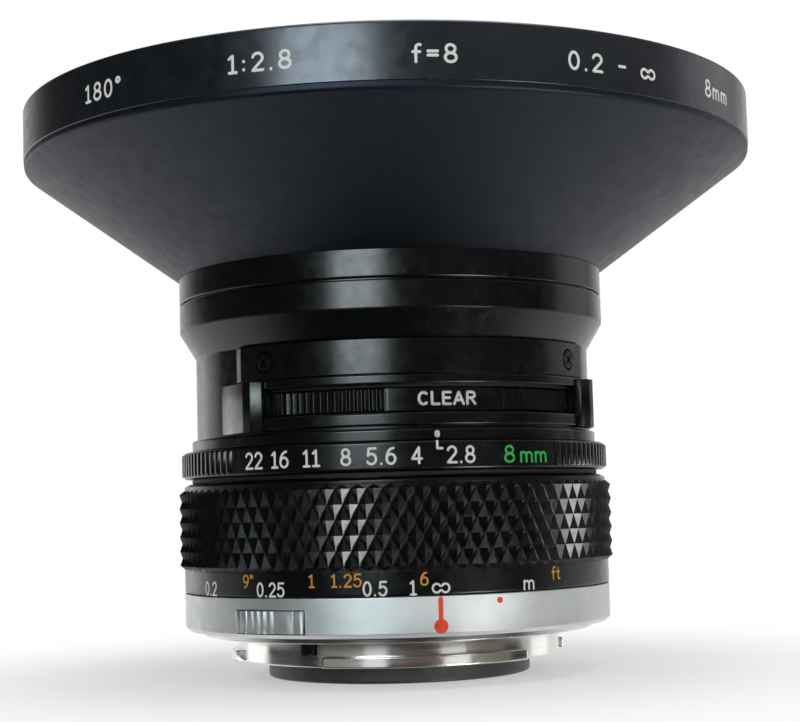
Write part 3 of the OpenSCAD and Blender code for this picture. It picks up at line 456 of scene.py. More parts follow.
def new_tree(name, inputs, output):
    """An empty geometry tree with named inputs; returns it and what its inputs give."""
    tree = bpy.data.node_groups.new(name, "GeometryNodeTree")
    for label, kind in inputs.items():
        tree.interface.new_socket(label, in_out="INPUT", socket_type="NodeSocket" + kind)
    tree.interface.new_socket(output, in_out="OUTPUT", socket_type="NodeSocketGeometry")
    return tree, add_node(tree, "NodeGroupInput").outputs


spin, given = new_tree("turned_ring", {"Outline": "Geometry", "Segments": "Int", "Start angle": "Float",
                                       "Sweep": "Float", "Stud height": "Float", "Finish": "Material"}, "Ring")
size = add_node(spin, "GeometryNodeAttributeDomainSize", {0: given["Outline"]}, component="MESH")
rows = add_node(spin, "ShaderNodeMath", {0: size.outputs["Point Count"], 1: 1.0}, operation="ADD")
columns = add_node(spin, "ShaderNodeMath", {0: given["Segments"], 1: 1.0}, operation="ADD")
net = add_node(spin, "GeometryNodeMeshGrid", {"Vertices X": rows.outputs[0], "Vertices Y": columns.outputs[0]})
number = add_node(spin, "GeometryNodeInputIndex")
share = add_node(spin, "ShaderNodeMath", {0: number.outputs[0], 1: columns.outputs[0]}, operation="DIVIDE")
line = add_node(spin, "ShaderNodeMath", {0: share.outputs[0]}, operation="FLOOR")
row = add_node(spin, "ShaderNodeMath", {0: line.outputs[0], 1: size.outputs["Point Count"]}, operation="MODULO")
column = add_node(spin, "ShaderNodeMath", {0: number.outputs[0], 1: columns.outputs[0]}, operation="MODULO")
spot = add_node(spin, "GeometryNodeInputPosition")
point = add_node(spin, "GeometryNodeSampleIndex", {0: given["Outline"], 1: spot.outputs[0], 2: row.outputs[0]},
                 data_type="FLOAT_VECTOR", domain="POINT")
studded = add_node(spin, "GeometryNodeInputNamedAttribute", {"Name": "studded"}, data_type="FLOAT")
mark = add_node(spin, "GeometryNodeSampleIndex", {0: given["Outline"], 1: studded.outputs[0], 2: row.outputs[0]},
                data_type="FLOAT", domain="POINT")
steps = add_node(spin, "ShaderNodeMath", {0: row.outputs[0], 1: column.outputs[0]}, operation="ADD")
odd = add_node(spin, "ShaderNodeMath", {0: steps.outputs[0], 1: 2.0}, operation="MODULO")
raised = add_node(spin, "ShaderNodeMath", {0: odd.outputs[0], 1: mark.outputs[0]}, operation="MULTIPLY")
stud = add_node(spin, "ShaderNodeMath", {0: raised.outputs[0], 1: given["Stud height"]}, operation="MULTIPLY")
outward = add_node(spin, "ShaderNodeCombineXYZ", {"X": stud.outputs[0]})
lifted = add_node(spin, "ShaderNodeVectorMath", {0: point.outputs[0], 1: outward.outputs[0]}, operation="ADD")
part = add_node(spin, "ShaderNodeMath", {0: column.outputs[0], 1: given["Segments"]}, operation="DIVIDE")
angle = add_node(spin, "ShaderNodeMath", {0: part.outputs[0], 1: given["Sweep"], 2: given["Start angle"]},
                 operation="MULTIPLY_ADD")
placed = add_node(spin, "ShaderNodeVectorRotate", {"Vector": lifted.outputs[0], "Angle": angle.outputs[0]},
                  rotation_type="Z_AXIS")
bent = add_node(spin, "GeometryNodeSetPosition", {"Geometry": net.outputs["Mesh"], "Position": placed.outputs[0]})
closed = add_node(spin, "GeometryNodeMergeByDistance", {"Geometry": bent.outputs[0], "Distance": WELD})
cut = add_node(spin, "GeometryNodeTriangulate", {"Mesh": closed.outputs[0]}, quad_method="SHORTEST_DIAGONAL")
whole = add_node(spin, "GeometryNodeRealizeInstances", {"Geometry": cut.outputs[0]})
coated = add_node(spin, "GeometryNodeSetMaterial", {"Geometry": whole.outputs[0], "Material": given["Finish"]})
add_node(spin, "NodeGroupOutput", {"Ring": coated.outputs[0]})
print("turned_ring has", len(spin.nodes), "nodes")

# %% [markdown]
# ## From a tree to a piece
# A tree's result lives in a modifier. The finished piece is a plain mesh instead, so the modifier runs on
# a short-lived object and its result is copied out. The piece then sits at the origin like the packed
# ones, rides on the body it moves with, and hides the imported pieces it stands for.

# %% Make a plain mesh and fit it
def plain_copy(piece, name):
    """The mesh of a piece as its modifiers leave it."""
    graph = bpy.context.evaluated_depsgraph_get()
    mesh = bpy.data.meshes.new_from_object(piece.evaluated_get(graph), depsgraph=graph)
    mesh.name = name
    return mesh


def grown(name, start_mesh, tree, inputs):
    """Runs a tree on start_mesh and keeps the result as a plain mesh."""
    holder = bpy.data.objects.new(name + "_start", start_mesh)
    scene.collection.objects.link(holder)
    growth = holder.modifiers.new("growth", "NODES")
    growth.node_group = tree
    for item in tree.interface.items_tree:
        if item.in_out == "INPUT" and item.name in inputs:
            growth[item.identifier] = inputs[item.name]
    mesh = plain_copy(holder, name)
    bpy.data.objects.remove(holder)
    mesh.materials.clear()
    mesh.materials.append(inputs["Finish"])
    mesh.polygons.foreach_set("material_index", [0] * len(mesh.polygons))
    return mesh


def fitted(name, mesh, body, stands_for=()):
    """Puts a finished mesh in the scene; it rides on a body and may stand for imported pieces."""
    piece = bpy.data.objects.new(name, mesh)
    scene.collection.objects.link(piece)
    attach(piece, body)
    if stands_for:
        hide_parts(*stands_for)
    return piece


print("trees so far:", len(bpy.data.node_groups))

# %% Spin a closed shell
MERGE, BROKEN_EDGE = 1e-7, {"segments": 2, "profile": 0.5, "affect": "EDGES", "clamp_overlap": True}


def tidy_shell(mesh, end_edge=0.0):
    """Caps open ends, breaks their edges by end_edge mm and turns the faces outwards."""
    work = bmesh.new()
    work.from_mesh(mesh)
    bmesh.ops.dissolve_degenerate(work, dist=MERGE, edges=work.edges)
    rims = [e for e in work.edges if e.is_boundary]
    if rims:
        bmesh.ops.holes_fill(work, edges=rims)
    bmesh.ops.recalc_face_normals(work, faces=work.faces)
    if rims and end_edge:
        bmesh.ops.bevel(work, geom=rims, offset=end_edge * MM, **BROKEN_EDGE)
    work.to_mesh(mesh)
    work.free()


def spun(name, outline, material, segments=240, arc=None, studs=(), stud_mm=0.0, end_edge=0.0):
    """A closed mesh from an outline in mm; arc = (first, last) degrees from the index for a part of a ring."""
    mesh = bpy.data.meshes.new(name + "_outline")
    mesh.from_pydata([(x * MM, 0, z * MM) for x, z in outline], [], [])
    if studs:
        marks = mesh.attributes.new("studded", "FLOAT", "POINT")
        marks.data.foreach_set("value", [1.0 if i in studs else 0.0 for i in range(len(outline))])
    first, last = arc or (0.0, 360.0)
    inputs = {"Segments": segments, "Start angle": math.radians(first - 90), "Sweep": math.radians(last - first),
              "Stud height": stud_mm * MM, "Finish": material}
    made = grown(name, mesh, spin, inputs)
    tidy_shell(made, end_edge)
    return made


print("a plain washer has", len(spun("washer", square, black_matt, segments=24).polygons), "faces")

# %% Cut, slope and shade a ring
THIN_EDGE = 0.08


def carved(mesh, cutters):
    """Cuts away the shapes of other meshes."""
    blank = bpy.data.objects.new("blank", mesh)
    scene.collection.objects.link(blank)
    tools = []
    for cutter in cutters:
        tool = bpy.data.objects.new("cutter", cutter)
        scene.collection.objects.link(tool)
        cut = blank.modifiers.new("cut", "BOOLEAN")
        cut.object, cut.operation, cut.solver = tool, "DIFFERENCE", "EXACT"
        tools.append(tool)
    made = plain_copy(blank, mesh.name)
    for used in tools + [blank]:
        bpy.data.objects.remove(used)
    return made


def feather(mesh, arc, ramp, foot_r):
    """Slopes both ends of a part of a ring down to a thin edge, over ramp degrees."""
    for point in mesh.vertices:
        radius = point.co.xy.length
        degrees = math.degrees(math.atan2(point.co.x, -point.co.y))
        share = min(degrees - arc[0], arc[1] - degrees) / ramp
        if share < 1:
            slope_r = foot_r * MM + (radius - foot_r * MM) * max(share, THIN_EDGE)
            point.co.xy = point.co.xy * (slope_r / radius)


def turned(name, outline, material, body, stands_for=(), segments=240, arc=None, studs=(), stud_mm=0.0,
           sharp_degrees=26, cutters=(), end_edge=0.0, ramp=0.0, with_meshes=()):
    """A ring from a closed outline, cut, joined with other meshes and shaded, on its body."""
    mesh = spun(name, outline, material, segments, arc, studs, stud_mm, end_edge)
    if ramp:
        feather(mesh, arc, ramp, min(x for x, z in outline))
    if cutters:
        mesh = carved(mesh, cutters)
    if with_meshes:
        work = bmesh.new()
        for source in (mesh, *with_meshes):
            work.from_mesh(source)
        work.to_mesh(mesh)
        work.free()
    mesh.shade_smooth()
    mesh.set_sharp_from_angle(angle=math.radians(sharp_degrees))
    return fitted(name, mesh, body, stands_for)


def span(node):
    """Outer radius, lower and upper height of a packed ring, in mm."""
    low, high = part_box(node)
    return high.x / MM, low.z / MM, high.z / MM


print("front rim in the packed lens:", [round(size, 2) for size in span("front_cone")], "mm")

# %% [markdown]
# ## The flared front
# The front of the lens is one casting: a satin cone that opens from the neck to the rim, and a
# smoother rim that carries the engraved data. Two rings could be put together, but a seam would show;
# so it is turned as one, and the faces of the rim then get the polished finish. The rim is kept a hair
# inside its full radius, so that the paint in the letters stays within the real size.

# %% Cone and rim
rim_r, _, rim_z = span("front_cone")
neck_r, _, cone_low = span("neck_upper")
RIM_HEIGHT, CONE_WALL, PAINT, STEP, STEP_UP = 7.9, 2.0, 0.03, 0.08, 0.8
INNER_R, SHELF_R, SEAT_DEPTH, RIM_WALL = 27.35, 43.2, 5.6, 3.75
rim_low, seat_z, bore_r, face_r = rim_z - RIM_HEIGHT, rim_z - SEAT_DEPTH, rim_r - RIM_WALL, rim_r - PAINT
slope = (rim_low - cone_low) / (rim_r - neck_r)
inside_low = cone_low + CONE_WALL * math.sqrt(1 + slope * slope)
cone_outline = rounded([
    (INNER_R, cone_low, 0), (neck_r, cone_low, 0.12), (face_r - STEP, rim_low, 0.9),
    (face_r - STEP, rim_low + STEP_UP, 0), (face_r, rim_low + STEP_UP + 0.1, 0.12), (face_r, rim_z, 0.35),
    (bore_r, rim_z, 0.2), (bore_r, seat_z, 0),
    (SHELF_R, seat_z, 0), (SHELF_R, inside_low + (SHELF_R - neck_r) * slope, 0),
    (INNER_R, inside_low + (INNER_R - neck_r) * slope, 0)], steps=6)
front = turned("flared_front", cone_outline, black_satin, "front", ["front_cone"], segments=320)
front.data.materials.append(black_polish)
for face in front.data.polygons:
    if face.center.z > (rim_low + STEP_UP + 0.01) * MM and face.center.xy.length > (bore_r - 0.5) * MM:
        face.material_index = 1
print("flared front:", len(front.data.polygons), "faces")

# %% [markdown]
# ## The front glass
# The front glass is a deep meniscus, a shell of two spheres, held down by a thin threaded ring. Two
# arcs and a stepped edge make its outline, so it is turned like a ring that closes on the axis. The
# ground edge and the steep outer zone of the hollow are painted black, as is usual against stray light;
# without that paint they would mirror the room.

# %% Front glass and its ring
DOME_DROP, EDGE_GAP, LEDGE, LEDGE_DROP, FLAT_WIDTH, CENTRE_THICK = 0.4, 0.05, 1.7, 2.15, 4.2, 4.5
CLEAR_R, LOOKS_UP = 25.0, 0.2


def sphere_arc(apex, curve_r, edge_r, steps):
    """Outline of a spherical surface, from the axis to its edge."""
    radii = [edge_r * k / steps for k in range(steps + 1)]
    return [(r, apex - curve_r + math.sqrt(curve_r ** 2 - r ** 2)) for r in radii]


glass_apex = span("glass_1")[2]
glass_r, step_r, back_z = bore_r - EDGE_GAP, bore_r - EDGE_GAP - LEDGE, glass_apex - CENTRE_THICK
front_sag = glass_apex - rim_z - DOME_DROP
dome = sphere_arc(glass_apex, (step_r ** 2 + front_sag ** 2) / (2 * front_sag), step_r, 40)
hollow = sphere_arc(back_z, 0.667 * rim_r, 0.57 * rim_r, 30)
ledge_z, flat_z = rim_z - LEDGE_DROP, seat_z + 0.03
edge = [(step_r, ledge_z), (glass_r, ledge_z), (glass_r, flat_z), (glass_r - FLAT_WIDTH, flat_z)]
glass = turned("front_glass", dome + edge + hollow[::-1], front_glass, "front", ["glass_1"],
               segments=200)
glass.data.materials.append(black_matt)
for face in glass.data.polygons:
    if face.center.xy.length > CLEAR_R * MM and face.normal.z < LOOKS_UP:
        face.material_index = 1
ring_in, ring_low = step_r + EDGE_GAP, ledge_z + EDGE_GAP
turned("front_retaining_ring", rounded([
    (ring_in, ring_low, 0), (glass_r, ring_low, 0), (glass_r, rim_z, 0.12), (step_r + 0.6, rim_z, 0.12),
    (ring_in, rim_z - 0.5, 0.05)]), black_matt, "front", ["front_retainer"], segments=240)
print("front glass bulges", round(front_sag, 2), "mm over the rim")

# %% [markdown]
# ## Neck and index rings
# Below the cone follow two neck rings with a groove between them, and further down the narrow index
# ring. The groove could be cut into one ring; on the lens it is the gap where two rings meet, so the
# upper ring simply starts with a smaller step.

# %% Neck and index rings
low_r, low_0, low_1 = span("neck_lower")
turned("neck_ring_lower", rounded([
    (INNER_R, low_0, 0), (low_r, low_0, 0.08), (low_r, low_1, 0.22), (INNER_R, low_1, 0)]),
    black_enamel, "front", ["neck_lower"])
up_r, up_0, up_1 = span("neck_upper")
GROOVE, GROOVE_IN, INDEX_IN = 0.2, 0.5, 26.65
turned("neck_ring_upper", rounded([
    (INNER_R, up_0, 0), (up_r - GROOVE_IN, up_0, 0), (up_r - GROOVE_IN, up_0 + GROOVE, 0),
    (up_r, up_0 + GROOVE, 0.22), (up_r, up_1, 0.08), (INNER_R, up_1, 0)]),
    black_enamel, "front", ["neck_upper"])
ind_r, ind_0, ind_1 = span("index_ring")
turned("index_collar", rounded([
    (INDEX_IN, ind_0, 0), (ind_r, ind_0, 0.1), (ind_r, ind_1, 0.25), (INDEX_IN, ind_1, 0)]),
    black_enamel, "front", ["index_ring"])
print("neck rings", round(low_0, 2), "to", round(up_1, 2), "mm")

# %% [markdown]
# ## Ribs
# The aperture ring is gripped by rows of small upright ribs, and so is the filter ring further up. An
# Array modifier could repeat a rib, but a tree with a count, a radius and a step makes both rows, and
# puts each rib at its own angle.

# %% The tree that sets ribs round a ring
ribs, given = new_tree("ribs_round_a_ring", {"Rib": "Geometry", "Count": "Int", "Radius": "Float",
                                             "Start angle": "Float", "Step": "Float", "Finish": "Material"}, "Ribs")
dots = add_node(ribs, "GeometryNodeMeshLine", {"Count": given["Count"]})
number = add_node(ribs, "GeometryNodeInputIndex")
angle = add_node(ribs, "ShaderNodeMath", {0: number.outputs[0], 1: given["Step"], 2: given["Start angle"]},
                 operation="MULTIPLY_ADD")
reach = add_node(ribs, "ShaderNodeCombineXYZ", {"X": given["Radius"]})
around = add_node(ribs, "ShaderNodeVectorRotate", {"Vector": reach.outputs[0], "Angle": angle.outputs[0]},
                  rotation_type="Z_AXIS")
spread = add_node(ribs, "GeometryNodeSetPosition", {"Geometry": dots.outputs[0], "Position": around.outputs[0]})
facing = add_node(ribs, "ShaderNodeCombineXYZ", {"Z": angle.outputs[0]})
copies = add_node(ribs, "GeometryNodeInstanceOnPoints", {"Points": spread.outputs[0], "Instance": given["Rib"],
                                                         "Rotation": facing.outputs[0]})
whole = add_node(ribs, "GeometryNodeRealizeInstances", {"Geometry": copies.outputs[0]})
coated = add_node(ribs, "GeometryNodeSetMaterial", {"Geometry": whole.outputs[0], "Material": given["Finish"]})
add_node(ribs, "NodeGroupOutput", {"Ribs": coated.outputs[0]})
print("ribs_round_a_ring has", len(ribs.nodes), "nodes")

# %% Aperture ring and its ribs
END_SHARE, END_SLOPE, RIB_SHARP = 0.6, 0.15, 32


def rib_mesh(name, outline, low, high):
    """A straight bar: outline of (outward, sideways) in mm, from height low to high, with bevelled ends."""
    count = len(outline)
    levels = ((low, END_SHARE), (low + END_SLOPE, 1.0), (high - END_SLOPE, 1.0), (high, END_SHARE))
    verts = [((x if x <= 0 else x * k) * MM, y * MM, z * MM) for z, k in levels for x, y in outline]
    faces = [(i * count + j, i * count + (j + 1) % count, (i + 1) * count + (j + 1) % count, (i + 1) * count + j)
             for i in range(3) for j in range(count)]
    faces += [tuple(range(count))[::-1], tuple(range(3 * count, 4 * count))]
    made = bpy.data.meshes.new(name)
    made.from_pydata(verts, [], faces)
    return made


def rib_row(name, rib, count, radius, first, step, material):
    """A row of ribs round the axis; angles in degrees from the index, radius in mm."""
    made = grown(name, rib, ribs, {"Count": count, "Radius": radius * MM, "Start angle": math.radians(first - 90),
                                   "Step": math.radians(step), "Finish": material})
    tidy_shell(made)
    made.shade_smooth()
    made.set_sharp_from_angle(angle=math.radians(RIB_SHARP))
    return made


RIB_OUT, RIB_MARGIN, ROOT, APERTURE_IN = 0.3, 0.3, 0.2, 26.7
NUMBER_BAND, NUMBER_TURN, GRIP_ANGLE, GRIP_RIBS = 90, -10.5, 90, 36
ap_r, ap_0, ap_1 = span("aperture_ring")
band_r = ap_r - RIB_OUT
turned("aperture_ring_turned", rounded([
    (APERTURE_IN, ap_0, 0), (band_r, ap_0, 0.28), (band_r, ap_1, 0.28), (APERTURE_IN, ap_1, 0)]),
    black_enamel, "aperture", ["aperture_ring"])
rib_step = GRIP_ANGLE / GRIP_RIBS
pitch = math.radians(rib_step) * band_r
flank = [(-ROOT, 0.46 * pitch), (0, 0.46 * pitch), (RIB_OUT - 0.04, 0.29 * pitch), (RIB_OUT, 0.24 * pitch)]
rib_outline = [(x, -y) for x, y in flank] + flank[::-1]
right_start, left_start = NUMBER_TURN + NUMBER_BAND / 2, NUMBER_TURN - NUMBER_BAND / 2 - GRIP_ANGLE
for side_name, first in (("right", right_start), ("left", left_start)):
    rib = rib_mesh("rib", rib_outline, ap_0 + RIB_MARGIN, ap_1 - RIB_MARGIN)
    start = first + 0.4 * rib_step
    grip = rib_row("aperture_grip_" + side_name, rib, GRIP_RIBS, band_r, start, rib_step, black_enamel)
    fitted(grip.name, grip, "aperture", ())
print("ribs on the aperture ring:", 2 * GRIP_RIBS)

# %% [markdown]
# ## Focusing ring and its rubber
# The rubber grip is a band of small pyramids in five staggered rows. They could be set on one by one,
# but each pyramid's foot touches its neighbours, so it is neater to raise every second point of one net:
# that is what the studded rows of the spinning tree are for.

# %% Focusing ring and rubber grip
focus_r, focus_0, focus_1 = span("focus_ring")
grip_r, grip_0, grip_1 = span("focus_grip")
FOCUS_IN, RUBBER_THICK, TOP_STEP = 27.15, 1.3, 0.1
DIAMONDS, DIAMOND_ROWS, GROOVE_DEPTH, PLAIN_EDGE = 92, 5, 0.66, 0.55
bed_r, top_r = grip_r - RUBBER_THICK, focus_r - TOP_STEP
turned("focusing_ring_turned", rounded([
    (FOCUS_IN, focus_0, 0), (focus_r, focus_0, 0.22), (focus_r, grip_0, 0.06), (bed_r, grip_0, 0), (bed_r, grip_1, 0),
    (top_r, grip_1, 0.06), (top_r, focus_1 - 0.35, 0.1), (top_r - 0.5, focus_1, 0.1), (FOCUS_IN, focus_1, 0)]),
    black_enamel, "focusing", ["focus_ring"])
row_height = (grip_1 - grip_0 - 2 * PLAIN_EDGE) / DIAMOND_ROWS
valley_r = grip_r - GROOVE_DEPTH
heights = [grip_0 + PLAIN_EDGE + i * row_height for i in range(DIAMOND_ROWS + 1)]
grip_outline = [(bed_r, grip_0), *[(valley_r, z) for z in (grip_0, *heights, grip_1)], (bed_r, grip_1)]
turned("rubber_grip", grip_outline, rubber, "focusing", ["focus_grip"], segments=2 * DIAMONDS,
       studs=range(2, 3 + DIAMOND_ROWS), stud_mm=GROOVE_DEPTH, sharp_degrees=3)
print("diamonds on the grip:", DIAMONDS, "round,", DIAMOND_ROWS, "rows")

# %% [markdown]
# ## The filter housing
# Under the neck sits the housing of the filter wheel: a thin wall that widens to the neck, a window
# for the finger ring, a frame with two raised lugs round that window, and a cover plate held by two
# screws. The wall is turned and the window is cut out of it with a Boolean. Extra points along the
# wall keep the faces beside a cut small, so the smooth shading stays clean.

# %% Cutters and blocks
SHARP_CORNER, DRILL_SIDES = 20, 40


def finely(outline, step):
    """Adds points along the straight runs of a closed outline, at most step mm apart."""
    points = []
    for (x0, z0), (x1, z1) in zip(outline, outline[1:] + outline[:1]):
        parts = max(1, math.ceil(math.hypot(x1 - x0, z1 - z0) / step))
        points += [(x0 + (x1 - x0) * k / parts, z0 + (z1 - z0) * k / parts) for k in range(parts)]
    return points


def on_ring(radius, degrees):
    """Place on a ring seen from above, in mm; degrees from the index."""
    return Vector((radius * math.sin(math.radians(degrees)), -radius * math.cos(math.radians(degrees))))


def prism(name, outline, low, high, material, edge_mm=0.1):
    """A straight-sided block from an outline in mm seen from above, with softly broken edges."""
    work = bmesh.new()
    foot = work.faces.new([work.verts.new((x * MM, y * MM, low * MM)) for x, y in outline])
    raised = bmesh.ops.extrude_face_region(work, geom=[foot])["geom"]
    upper = [corner for corner in raised if isinstance(corner, bmesh.types.BMVert)]
    bmesh.ops.translate(work, vec=(0, 0, (high - low) * MM), verts=upper)
    bmesh.ops.recalc_face_normals(work, faces=work.faces)
    if edge_mm:
        sharp = [e for e in work.edges if e.calc_face_angle(0) > math.radians(SHARP_CORNER)]
        bmesh.ops.bevel(work, geom=sharp, offset=edge_mm * MM, **BROKEN_EDGE)
    mesh = bpy.data.meshes.new(name)
    work.to_mesh(mesh)
    work.free()
    mesh.materials.append(material)
    return mesh


def slab(degrees, r_in, r_out, width, low, high):
    """A box cutter that reaches along a radius, in mm."""
    across = on_ring(width / 2, degrees + 90)
    near, away = on_ring(r_in, degrees), on_ring(r_out, degrees)
    return prism("slab", [near - across, away - across, away + across, near + across], low, high, black_matt, 0)


def drill(middle, along, radius, length, flare=0.0):
    """A round cutter, in mm; its far end is wider by the flare."""
    work = bmesh.new()
    place = Matrix.Translation(Vector(middle) * MM) @ Vector(along).to_track_quat("Z", "Y").to_matrix().to_4x4()
    bmesh.ops.create_cone(work, cap_ends=True, segments=DRILL_SIDES, radius1=radius * MM,
                          radius2=(radius + flare) * MM, depth=length * MM, matrix=place)
    mesh = bpy.data.meshes.new("drill")
    work.to_mesh(mesh)
    work.free()
    return mesh


print("a slab cutter has", len(slab(0, 1, 2, 1, 0, 1).polygons), "faces")

# %% Housing wall with its window
house_r, house_0, house_1 = span("turret_housing")
cover_low, cover_high = (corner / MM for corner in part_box("turret_cover"))
frame_low, frame_high = (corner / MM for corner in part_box("window_frame"))
COVER_THICK, WALL_THICK, WALL_MESH = 0.5, 0.6, 0.8
WINDOW_ENDS, RAIL_LOW, RAIL_HIGH, LUG_DROP = (-46, 50), 1.5, 1.15, 0.2
cover_r = -cover_low.y
wall_r = cover_r - COVER_THICK
wall_in = wall_r - WALL_THICK
window_0, window_1 = frame_low.z + LUG_DROP + RAIL_LOW, frame_high.z - RAIL_HIGH


def square_ring(r_in, r_out, low, high):
    """Outline of a plain ring with sharp edges."""
    return [(r_in, low), (r_out, low), (r_out, high), (r_in, high)]


opening = spun("opening", square_ring(wall_in - 1, wall_r + 1, window_0, window_1), black_enamel,
               segments=120, arc=WINDOW_ENDS)
wall = finely(rounded([
    (wall_in, house_0, 0), (wall_r, house_0, 0.08), (wall_r, cover_high.z, 0.12), (house_r, house_1, 0.04),
    (wall_in, house_1, 0)]), WALL_MESH)
turned("filter_housing", wall, black_enamel, "front", ["turret_housing"], segments=320,
       cutters=[opening])
print("housing wall radius", round(wall_r, 2), "mm, window", round(window_1 - window_0, 2), "mm high")

# %% Window frame with two lugs
RAIL_OUT, LUG_OUT, SEAT_GAP, RAIL_OVERLAP = 0.75, 2.05, 0.01, 2
rail_r, lug_r, seat_r = wall_r + RAIL_OUT, wall_r + LUG_OUT, wall_r + SEAT_GAP


def rail(low, high):
    return rounded([(seat_r, low, 0), (rail_r, low, 0.15), (rail_r, high, 0.15), (seat_r, high, 0)])


def lug(end):
    """Raised end of the window, seen from above: an inner bevel, a flat top and a long outer slope."""
    corners = ((seat_r, 0), (lug_r - 0.75, 0.2), (lug_r, 2.7), (lug_r, 5.3), (wall_r + 0.05, 19.5), (seat_r, 19.5))
    outline = [on_ring(radius, end + math.copysign(degrees, end)) for radius, degrees in corners]
    return prism("lug", outline, frame_low.z, frame_high.z - LUG_DROP, black_enamel)


ends = (WINDOW_ENDS[0] - RAIL_OVERLAP, WINDOW_ENDS[1] + RAIL_OVERLAP)
upper_rail = spun("upper_rail", rail(window_1, window_1 + RAIL_HIGH), black_enamel, segments=120, arc=ends)
turned("window_surround", rail(window_0 - RAIL_LOW, window_0), black_enamel, "front", ["window_frame"],
       segments=120, arc=ends, with_meshes=[upper_rail, *[lug(end) for end in WINDOW_ENDS]])
print("window frame with lugs", round(LUG_OUT, 2), "mm high")

# %% Cover plate
COVER_HALF, COVER_RAMP, PLATE_MESH, SCREW_TURN, SCREW_D = 58, 2.8, 0.6, 46.4, 2.3
plate = finely(rounded([
    (wall_r, cover_low.z, 0), (cover_r, cover_low.z, 0.1), (cover_r, cover_high.z, 0.1),
    (wall_r, cover_high.z, 0)]), PLATE_MESH)
sinks = []
for screw_turn in (-SCREW_TURN, SCREW_TURN):
    middle = (*on_ring(cover_r, screw_turn), (cover_low.z + cover_high.z) / 2)
    sinks.append(drill(middle, (*on_ring(1, screw_turn), 0), SCREW_D / 2 + 0.05, 1.0, 0.5))
turned("cover_plate", plate, black_enamel, "front", ["turret_cover"], segments=160,
       arc=(-COVER_HALF, COVER_HALF), cutters=sinks, ramp=COVER_RAMP, sharp_degrees=15)
print("cover plate spans", 2 * COVER_HALF, "degrees")

# %% [markdown]
# ## The filter selector
# The finger ring behind the window is knurled between four smooth pads, and each pad names a filter.
# Its inside is a gear that drives the filter wheel. Drawing the teeth again would gain nothing, so that
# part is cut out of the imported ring, and the pads and ribs are put on round it.

# %% Selector ring
sel_r, sel_0, sel_1 = span("filter_ring")
KNURL, KNURL_STEP, GEAR_WALL, ROOTED = 0.28, 2.1, 1.0, 0.3
# Each pad: its middle, in degrees from the index, and half its width.
PADS = [(4.5, 17), (-55.5, 13), (-115.5, 13), (-175.5, 13)]
knurl_r, gear_r = sel_r - KNURL, sel_r - GEAR_WALL
gear = nodes["filter_ring"].data.copy()
work = bmesh.new()
work.from_mesh(gear)
bmesh.ops.remove_doubles(work, verts=work.verts, dist=MERGE)
work.to_mesh(gear)
work.free()
outside = spun("outside", square_ring(gear_r, sel_r + 1, sel_0 - 1, sel_1 + 1), black_enamel, segments=180)
extras = [carved(gear, [outside])]
pad_outline = rounded([
    (knurl_r - ROOTED, sel_0 + 0.02, 0), (sel_r, sel_0 + 0.02, 0.1), (sel_r, sel_1 - 0.02, 0.1),
    (knurl_r - ROOTED, sel_1 - 0.02, 0)])
for middle, half in PADS:
    ends = (middle - half, middle + half)
    extras.append(spun("pad", pad_outline, black_enamel, segments=40, arc=ends, end_edge=0.1))
ridge = math.radians(KNURL_STEP) * knurl_r
flank = [(-ROOT, 0.48 * ridge), (0, 0.48 * ridge), (KNURL - 0.02, 0.08 * ridge), (KNURL, 0.03 * ridge)]
ridge_outline = [(x, -y) for x, y in flank] + flank[::-1]
full_circle = PADS + [(PADS[0][0] - 360, PADS[0][1])]
for (middle, half), (before, half_before) in zip(full_circle, full_circle[1:]):
    first, last = before + half_before, middle - half
    count = int((last - first) / KNURL_STEP)
    start = first + (last - first - (count - 1) * KNURL_STEP) / 2
    rib = rib_mesh("ridge", ridge_outline, sel_0 + 0.05, sel_1 - 0.05)
    extras.append(rib_row("knurl", rib, count, knurl_r, start, KNURL_STEP, black_enamel))
turned("filter_selector", rounded([
    (gear_r, sel_0, 0), (knurl_r, sel_0, 0.1), (knurl_r, sel_1, 0.1), (gear_r, sel_1, 0)]),
    black_enamel, "selector", ["filter_ring"], segments=180, with_meshes=extras)
print("selector: pads", len(PADS), "and knurl step", KNURL_STEP, "degrees")

# %% [markdown]
# ## The mount
# At the back are the silver barrel with a button on each side, the chromed bayonet with three tabs,
# and the black light baffle on which the lens stands. A real mount is turned first and milled after, and
# that order is the easy one here too: the rings are spun, and the button windows, the catch slot and the
# screw seats are then cut with box and round cutters.

# %% Barrel
barrel_r, barrel_0, barrel_1 = span("mount_barrel")
FLOOR_THICK, FLOOR_IN, BARREL_IN, FOOT_BEVEL, HAIR = 0.5, 20.0, 26.9, 0.5, 0.001
BUTTON_W, BUTTON_H, GAP, BUTTON_TURNS = 10.6, 2.8, 0.15, (-44.3, 135.7)
button_0 = barrel_0 + FLOOR_THICK
button_1 = button_0 + BUTTON_H + 2 * GAP
windows = [slab(a, BARREL_IN - 2, barrel_r + 5, BUTTON_W + 2 * GAP, button_0, button_1) for a in BUTTON_TURNS]
turned("silver_barrel", finely(rounded([
    (FLOOR_IN, barrel_0, 0), (barrel_r - FOOT_BEVEL, barrel_0, 0.1), (barrel_r, barrel_0 + FOOT_BEVEL, 0.15),
    (barrel_r, barrel_1, 0.08), (BARREL_IN, barrel_1, 0), (BARREL_IN, button_0 + HAIR, 0),
    (FLOOR_IN, button_0 + HAIR, 0)]), WALL_MESH),
    satin_silver, "mount", ["mount_barrel"], segments=320, cutters=windows)
print("barrel", round(2 * barrel_r, 1), "mm across")

